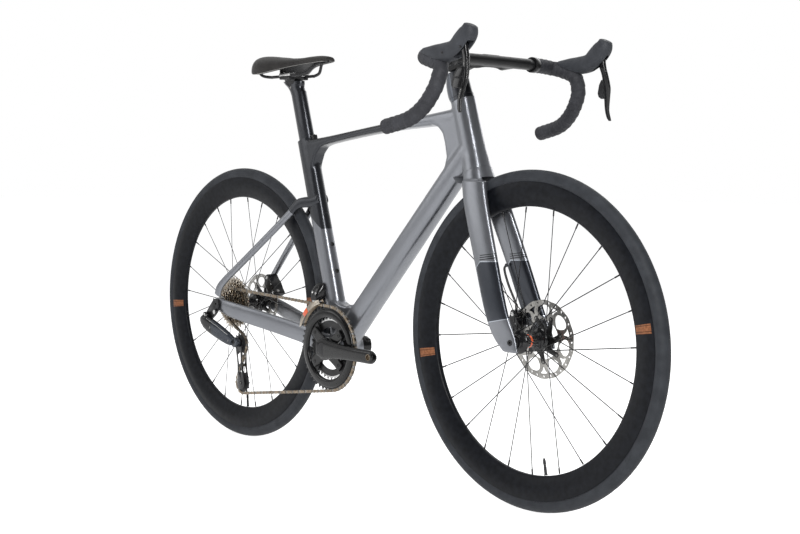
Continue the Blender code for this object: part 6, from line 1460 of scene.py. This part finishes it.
def rear_derailleur():
    outer = HANGER_Y - 0.0060 - GAP
    face = CHAIN_Y - CAGE_HALF - 0.0014 - 0.001 - GAP
    at = Vector((REAR_AXLE.x - 0.0356, 0, REAR_AXLE.z - 0.0323))
    low_at = Vector((GUIDE_AT.x - 0.001, 0, GUIDE_AT.z + 0.005))
    rows = smooth_rows(HOUSING, 6)
    path = [Vector((REAR_AXLE.x + x, outer + y, REAR_AXLE.z + z)) for x, y, z, _, _ in rows]
    frames = []
    for along in tangents(path):
        up = along.cross(SIDE).normalized()
        frames.append((up.cross(along).normalized(), up))
    housing = skin([section(point, across, up, wide, high, 3.0, 28)
                    for point, (across, up), (_, _, _, high, wide) in zip(path, frames, rows)])
    knuckle = turned([(outer, 0.0100), (outer - 0.0080, 0.0100), (outer - 0.0098, 0.0086)], at, SIDE, 40)
    lower = turned([(face, 0.0125), (face - 0.0125, 0.0125), (face - 0.0138, 0.0112)], low_at)
    item = moulded([housing, knuckle, lower], 0.0009, 5,
                   box((-0.066, face, -0.140), (0.074, 0.08, 0.020), REAR_AXLE))
    dress(item, "derailleur_housing", derailleur_paint(), "frame", ["rear_derailleur_body"])
    second = REAR_AXLE + Vector((0.0010, -0.0862, -0.0200))
    parts = [(bolt(at + SIDE * (outer - 0.0096), -SIDE, 0.0068, 0.0018, 0.42), steel),
             (rod(at + SIDE * (outer - 0.006), at + SIDE * (outer + 0.0055), 0.0041), dull_steel),
             (bolt(low_at + SIDE * (face - 0.0136), -SIDE, 0.0052, 0.0010, 0.5), alloy),
             (turned([(0, 0.0078), (0.0030, 0.0078), (0.0042, 0.0068)], second, -SIDE, 36), gloss),
             (bolt(second - SIDE * 0.0040, -SIDE, 0.0052, 0.0012, 0.45), steel)]
    for sign in (1, -1):
        line = [path[k] + frames[k][1] * (rows[k][3] * 0.80 * sign) - SIDE * rows[k][4] * 0.80
                for k in range(9, 26)]
        parts.append((tube(line, 0.0008, 10), steel))
    parts += [(bolt(path[k] - SIDE * (rows[k][4] * 0.93), -SIDE, 0.0033, 0.0009, 0.4), dull_steel)
              for k in (14, 27)]
    piece("derailleur_bolts", parts, "frame")
    outline = [(REAR_AXLE.x + x, REAR_AXLE.z + z) for x, z in
               ((0.0100, 0.0100), (0.0120, -0.0080), (-0.0030, -0.0270), (-0.0260, -0.0430), (-0.0420, -0.0425),
                (-0.0460, -0.0310), (-0.0400, -0.0220), (-0.0180, 0.0020), (-0.0060, 0.0120))]
    item = cut(mesh_object("hanger", plate(smooth_loop(outline, 4), HANGER_Y, -0.0060)),
               barrel(REAR_AXLE, 0.12, AXLE_HOLE, 40), barrel(at, 0.12, 0.0045, 32))
    dress(item, "hanger_plate", alloy, "frame", ["derailleur_hanger"], bevel=0.0006)


def front_derailleur():
    tip, y = pitch_radius(BIG_RING) + 0.0023, CHAIN_Y

    def flat(spots):
        return [(p.x, p.z) for p in [polar(BB, angle, tip + rise) for angle, rise in spots]]

    rise = smooth_rows([(158, 0.0050), (148, 0.0105), (134, 0.0125), (120, 0.0120), (106, 0.0100)], 5)
    outline = flat([(104 + 51 * k / 20, 0.0050) for k in range(21)] + [(a, 0.0050 + r) for a, r in rise])
    parts = [(plate(outline, y + side * 0.0058, side * 0.0012), look)
             for side, look in ((RIGHT, cog_steel), (LEFT, bronze))]
    top, tail = polar(BB, 112, tip + 0.0150), polar(BB, 154, tip + 0.0092)
    parts.append((box((-0.012, y - 0.0063, -0.0020), (0.012, y + 0.0063, 0.0015), top), steel))
    parts.append((cross_pin(tail + SIDE * y, 0.0063, 0.0024), dull_steel))
    piece("front_cage_plates", parts, "frame", ["front_derailleur_cage"], bevel=0.0003)
    accent = flat([(131, 0.0058), (141, 0.0058), (141, 0.0160), (131, 0.0172)])
    piece("front_cage_accent", [(plate(accent, y - 0.0070, -0.0006), orange)], "frame", bevel=0.0002)
    face = y + 0.0058 + 0.0012 + GAP
    rows = smooth_rows(((-0.0675, 0.0, 0.1090, 0.010, 0.0085), (-0.0675, 0.006, 0.1180, 0.014, 0.0155),
                        (-0.0625, 0.015, 0.1260, 0.014, 0.0200), (-0.0565, 0.024, 0.1290, 0.011, 0.0160)), 5)
    block = skin([section(BB + Vector((x, face + rear, z)), FORWARD, UP, long, high, 3.0, 32)
                  for x, rear, z, long, high in rows])
    item = moulded([block], 0.0009, 4, seat_tube(GAP), barrel(REAR_AXLE, 0.017, 0.343, 180))
    dress(item, "front_derailleur_block", gloss, "frame", ["front_derailleur_body"])
    bits = [(bolt(BB + Vector((-0.0675 + dx, face + dy, 0.1180 + dz)), -SIDE, r, 0.0016, 0.5), look)
            for dx, dy, dz, r, look in ((-0.006, 0.0022, 0.006, 0.0030, steel),
                                        (0.006, 0.0022, 0.004, 0.0026, steel),
                                        (0.003, 0.0070, 0.016, 0.0036, alloy))]
    piece("front_derailleur_bolts", bits, "frame")


for build in (chain, cassette, chainrings, cranks, pulleys, derailleur_cage, rear_derailleur, front_derailleur):
    build()


# Seatpost and saddle

SADDLE = smooth_rows(((-0.106, 0.0440, 0.0505, 0.0175), (-0.091, 0.0600, 0.0525, 0.0095),
                      (-0.068, 0.0700, 0.0520, 0.0050), (-0.038, 0.0690, 0.0490, 0.0065),
                      (-0.008, 0.0570, 0.0450, 0.0125), (0.022, 0.0430, 0.0425, 0.0185),
                      (0.052, 0.0320, 0.0420, 0.0230), (0.085, 0.0255, 0.0435, 0.0260),
                      (0.118, 0.0215, 0.0430, 0.0280), (0.140, 0.0150, 0.0395, 0.0290)), 7)
RAIL = ((-0.099, 0.0350, 0.0280), (-0.094, 0.0325, 0.01176), (-0.084, 0.0280, 0.0035), (-0.060, RAIL_SIDE, 0),
        (-0.052, RAIL_SIDE, 0), (-0.010, RAIL_SIDE, 0), (0.030, RAIL_SIDE, 0), (0.048, RAIL_SIDE, 0),
        (0.052, RAIL_SIDE, 0), (0.076, 0.0180, 0.0055), (0.092, 0.0110, 0.02025), (0.100, 0.006, 0.0270))


def seatpost():
    head, top = CLAMP_AT, BB + SEAT_AXIS * (SEAT_TUBE_LENGTH + 0.115)
    pin = head - UP * 0.0265 + FORWARD * 0.004
    rings = [post_section(SEAT_TUBE_LENGTH + rise, extra) for rise, extra in
             ((-0.165, -0.0002), (GAP, -0.0002), (0.001, 0.0), (0.060, 0.0), (0.115, 0.0))]
    flare = smooth_rows([(top.x - head.x, top.z - head.z, 0.0225), (0.0105, -0.0265, 0.0260),
                         (0.0050, -0.0185, 0.0330), (0.0010, -0.0115, 0.0370)], 5)
    rings += [section(head + Vector((x, 0, z)), SIDE, FORWARD, 0.01375, chord, 2.3)
              for x, z, chord in flare[2:]]
    item = cut(mesh_object("post", skin(rings)), barrel(head, 0.03, 0.022, 72), barrel(pin, 0.03, 0.0035, 32))
    dress(item, "seatpost_skin", paint_dark, "seatpost", ["seatpost"], bevel=0.0008)
    piece("seatpost_barrel", [(cross_pin(pin, 0.0128, 0.0032), dull_steel)], "seatpost")


def arch(half, top, rim_z, inset, groove):
    """A curve over the saddle from edge to edge, with a groove along the middle."""
    points = []
    for k in range(41):
        c, s = math.cos(math.pi * k / 40), math.sin(math.pi * k / 40)
        y = (half - inset) * math.copysign(abs(c) ** 0.8, c)
        z = rim_z + (top - rim_z - inset) * s ** 0.75
        points.append((y, z - groove * math.exp(-(y / 0.0085) ** 2)))
    return points


def saddle_layer(stations, outer, inner, groove):
    rings = []
    for x, half, top, rim_z in stations:
        share = max(0.0, min(1.0, (x + 0.100) / 0.03)) * max(0.0, min(1.0, (0.100 - x) / 0.04))
        loop = arch(half, top, rim_z, outer, groove * share) + arch(half, top, rim_z, inner, 0.0)[::-1]
        rings.append([CLAMP_AT + Vector((x, y, z)) for y, z in loop])
    return skin(rings)


def saddle():
    item = moulded([saddle_layer(SADDLE, 0.0, 0.0088, 0.0022)], 0.0017, 6)
    dress(item, "saddle_cushion", saddle_skin, "saddle", ["saddle_pad"], sharp=80.0)
    shell = saddle_layer(SADDLE[6:-6], 0.0096, 0.0121, 0.0)
    piece("saddle_base", [(shell, nylon)], "saddle", ["saddle_shell"], sharp=50.0)
    lips = [tube([CLAMP_AT + Vector((x, side * (half - 0.0020), rim_z + 0.0002))
                  for x, half, _, rim_z in SADDLE[2:-2]], 0.0010, 10) for side in (RIGHT, LEFT)]
    piece("saddle_edge_trim", [(together(*lips), dull_steel)], "saddle")
    left = [CLAMP_AT + Vector(p) for p in RAIL]
    path = smooth_path(left + [Vector((p.x, -p.y, p.z)) for p in reversed(left)], 8)
    piece("saddle_rail_loop", [(tube(path, RAIL_RADIUS, 24), nylon)], "saddle", ["saddle_rails"],
          sharp=60.0)


def clamp():
    head = CLAMP_AT
    half = RAIL_SIDE + RAIL_RADIUS + 0.003
    grooves = [turned([(-0.11, 0.0039), (0.14, 0.0039)], head + SIDE * y, FORWARD, 40)
               for y in (-RAIL_SIDE, RAIL_SIDE)]
    wings = box((-0.0198, -half, -0.0080), (0.0198, half, -GAP / 2), head)
    item = moulded([barrel(head, 0.0125, 0.0217, 96), wings], 0.0011, 3,
                   box((-0.05, -0.05, -GAP / 2), (0.05, 0.05, 0.05), head), *grooves)
    dress(item, "clamp_cradle", alloy, "saddle_clamp", ["saddle_clamp_lower"])
    item = moulded([box((-0.0215, -half, GAP / 2), (0.0215, half, 0.0075), head)], 0.0009, 3,
                   box((-0.05, -0.05, -0.02), (0.05, 0.05, GAP / 2), head), *grooves)
    dress(item, "clamp_plate", steel, "saddle_clamp", ["saddle_clamp_upper"])
    bar = cross_pin(head + UP * 0.0062, 0.0280, 0.0032, 28)
    piece("clamp_bolts", [(bolt(head + UP * 0.0072, UP, 0.0045, 0.0030), steel), (bar, steel)], "saddle_clamp")


seatpost()
saddle()
clamp()

# Parts of the CAD model that stay get their own finishes
KEPT = ((alloy, ("seatpost_wedge", "bottom_bracket_right", "bottom_bracket_left", "front_axle", "rear_axle",
                 "freehub_body")), (steel, ("headset_bearing_lower", "headset_bearing_upper")))
for look, names in KEPT:
    for name in names:
        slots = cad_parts[name].data.materials
        slots.clear()
        slots.append(look)


# Floor, world, lights and camera

ground = Look("floor_white", 0.9).colour((0.80, 0.80, 0.80, 1.0))
shown = ground.math("MULTIPLY", ground.shows_backdrop(), 0.78)
glow = ground.made("ShaderNodeEmission", {"Color": (1, 1, 1, 1), "Strength": shown})
both = ground.made("ShaderNodeAddShader", {0: ground.shader.outputs[0], 1: glow})
ground.put(ground.tree.nodes["Material Output"].inputs["Surface"], both)
floor = mesh_object("floor", box((-30, -30, -0.0021), (30, 30, -0.0001)), [ground.material], [0] * 6)

world = bpy.data.worlds.new("studio")
bpy.context.scene.world = world
world.use_nodes = True
sky = Nodes(world.node_tree)
sky.tree.nodes.clear()
facing = sky.node("ShaderNodeTexCoord").outputs["Generated"]
behind = sky.made("ShaderNodeVectorMath", {0: facing, 1: (-0.7488, 0.6628, 0.0)}, "Value",
                  operation="DOT_PRODUCT")
glow = sky.spread(behind, 0.22, 1.0, -0.20, 0.75)
white = sky.made("ShaderNodeBackground", {"Color": glow, "Strength": 1.0})
dim = sky.made("ShaderNodeBackground", {"Color": (0.97, 0.985, 1.0, 1.0), "Strength": 0.32})
chosen = sky.made("ShaderNodeMixShader", {0: sky.shows_backdrop(), 1: dim, 2: white})
sky.put(sky.node("ShaderNodeOutputWorld").inputs["Surface"], chosen)

for name, at, towards, width, height, power in (
        ("top_light", (0.2, -0.3, 3.2), (0, 0, 0.5), 3.2, 2.2, 28),
        ("key_light", (2.6, -2.6, 2.0), (0.1, 0, 0.5), 0.7, 1.9, 115),
        ("side_light", (-2.2, -2.4, 1.6), (0, 0, 0.5), 1.4, 1.8, 16),
        ("far_light", (-0.5, 3.0, 2.0), (0, 0, 0.5), 2.0, 1.6, 26)):
    data = bpy.data.lights.new(name, "AREA")
    data.shape = "RECTANGLE"
    data.size, data.size_y, data.energy = width, height, power
    lamp = bpy.data.objects.new(name, data)
    bpy.context.collection.objects.link(lamp)
    lamp.location = at
    lamp.rotation_euler = (Vector(towards) - Vector(at)).to_track_quat("-Z", "Y").to_euler()

camera = bpy.data.objects.new("camera", bpy.data.cameras.new("camera"))
bpy.context.collection.objects.link(camera)
camera.data.sensor_width = 36.0
camera.data.lens = 59.625
camera.data.shift_x = 0.00439
camera.data.shift_y = -0.02762
camera_right = Vector((0.662254, 0.749196, 0.011161))
camera_up = Vector((-0.045897, 0.025694, 0.998616))
camera_back = Vector((0.747872, -0.661850, 0.051401))
camera_place = Vector((2.27966, -1.93764, 0.66280))
turn = Matrix((camera_right, camera_up, camera_back)).transposed()
camera.matrix_world = Matrix.Translation(camera_place) @ turn.to_4x4()
bpy.context.scene.camera = camera
bpy.context.scene.view_settings.view_transform = "Standard"
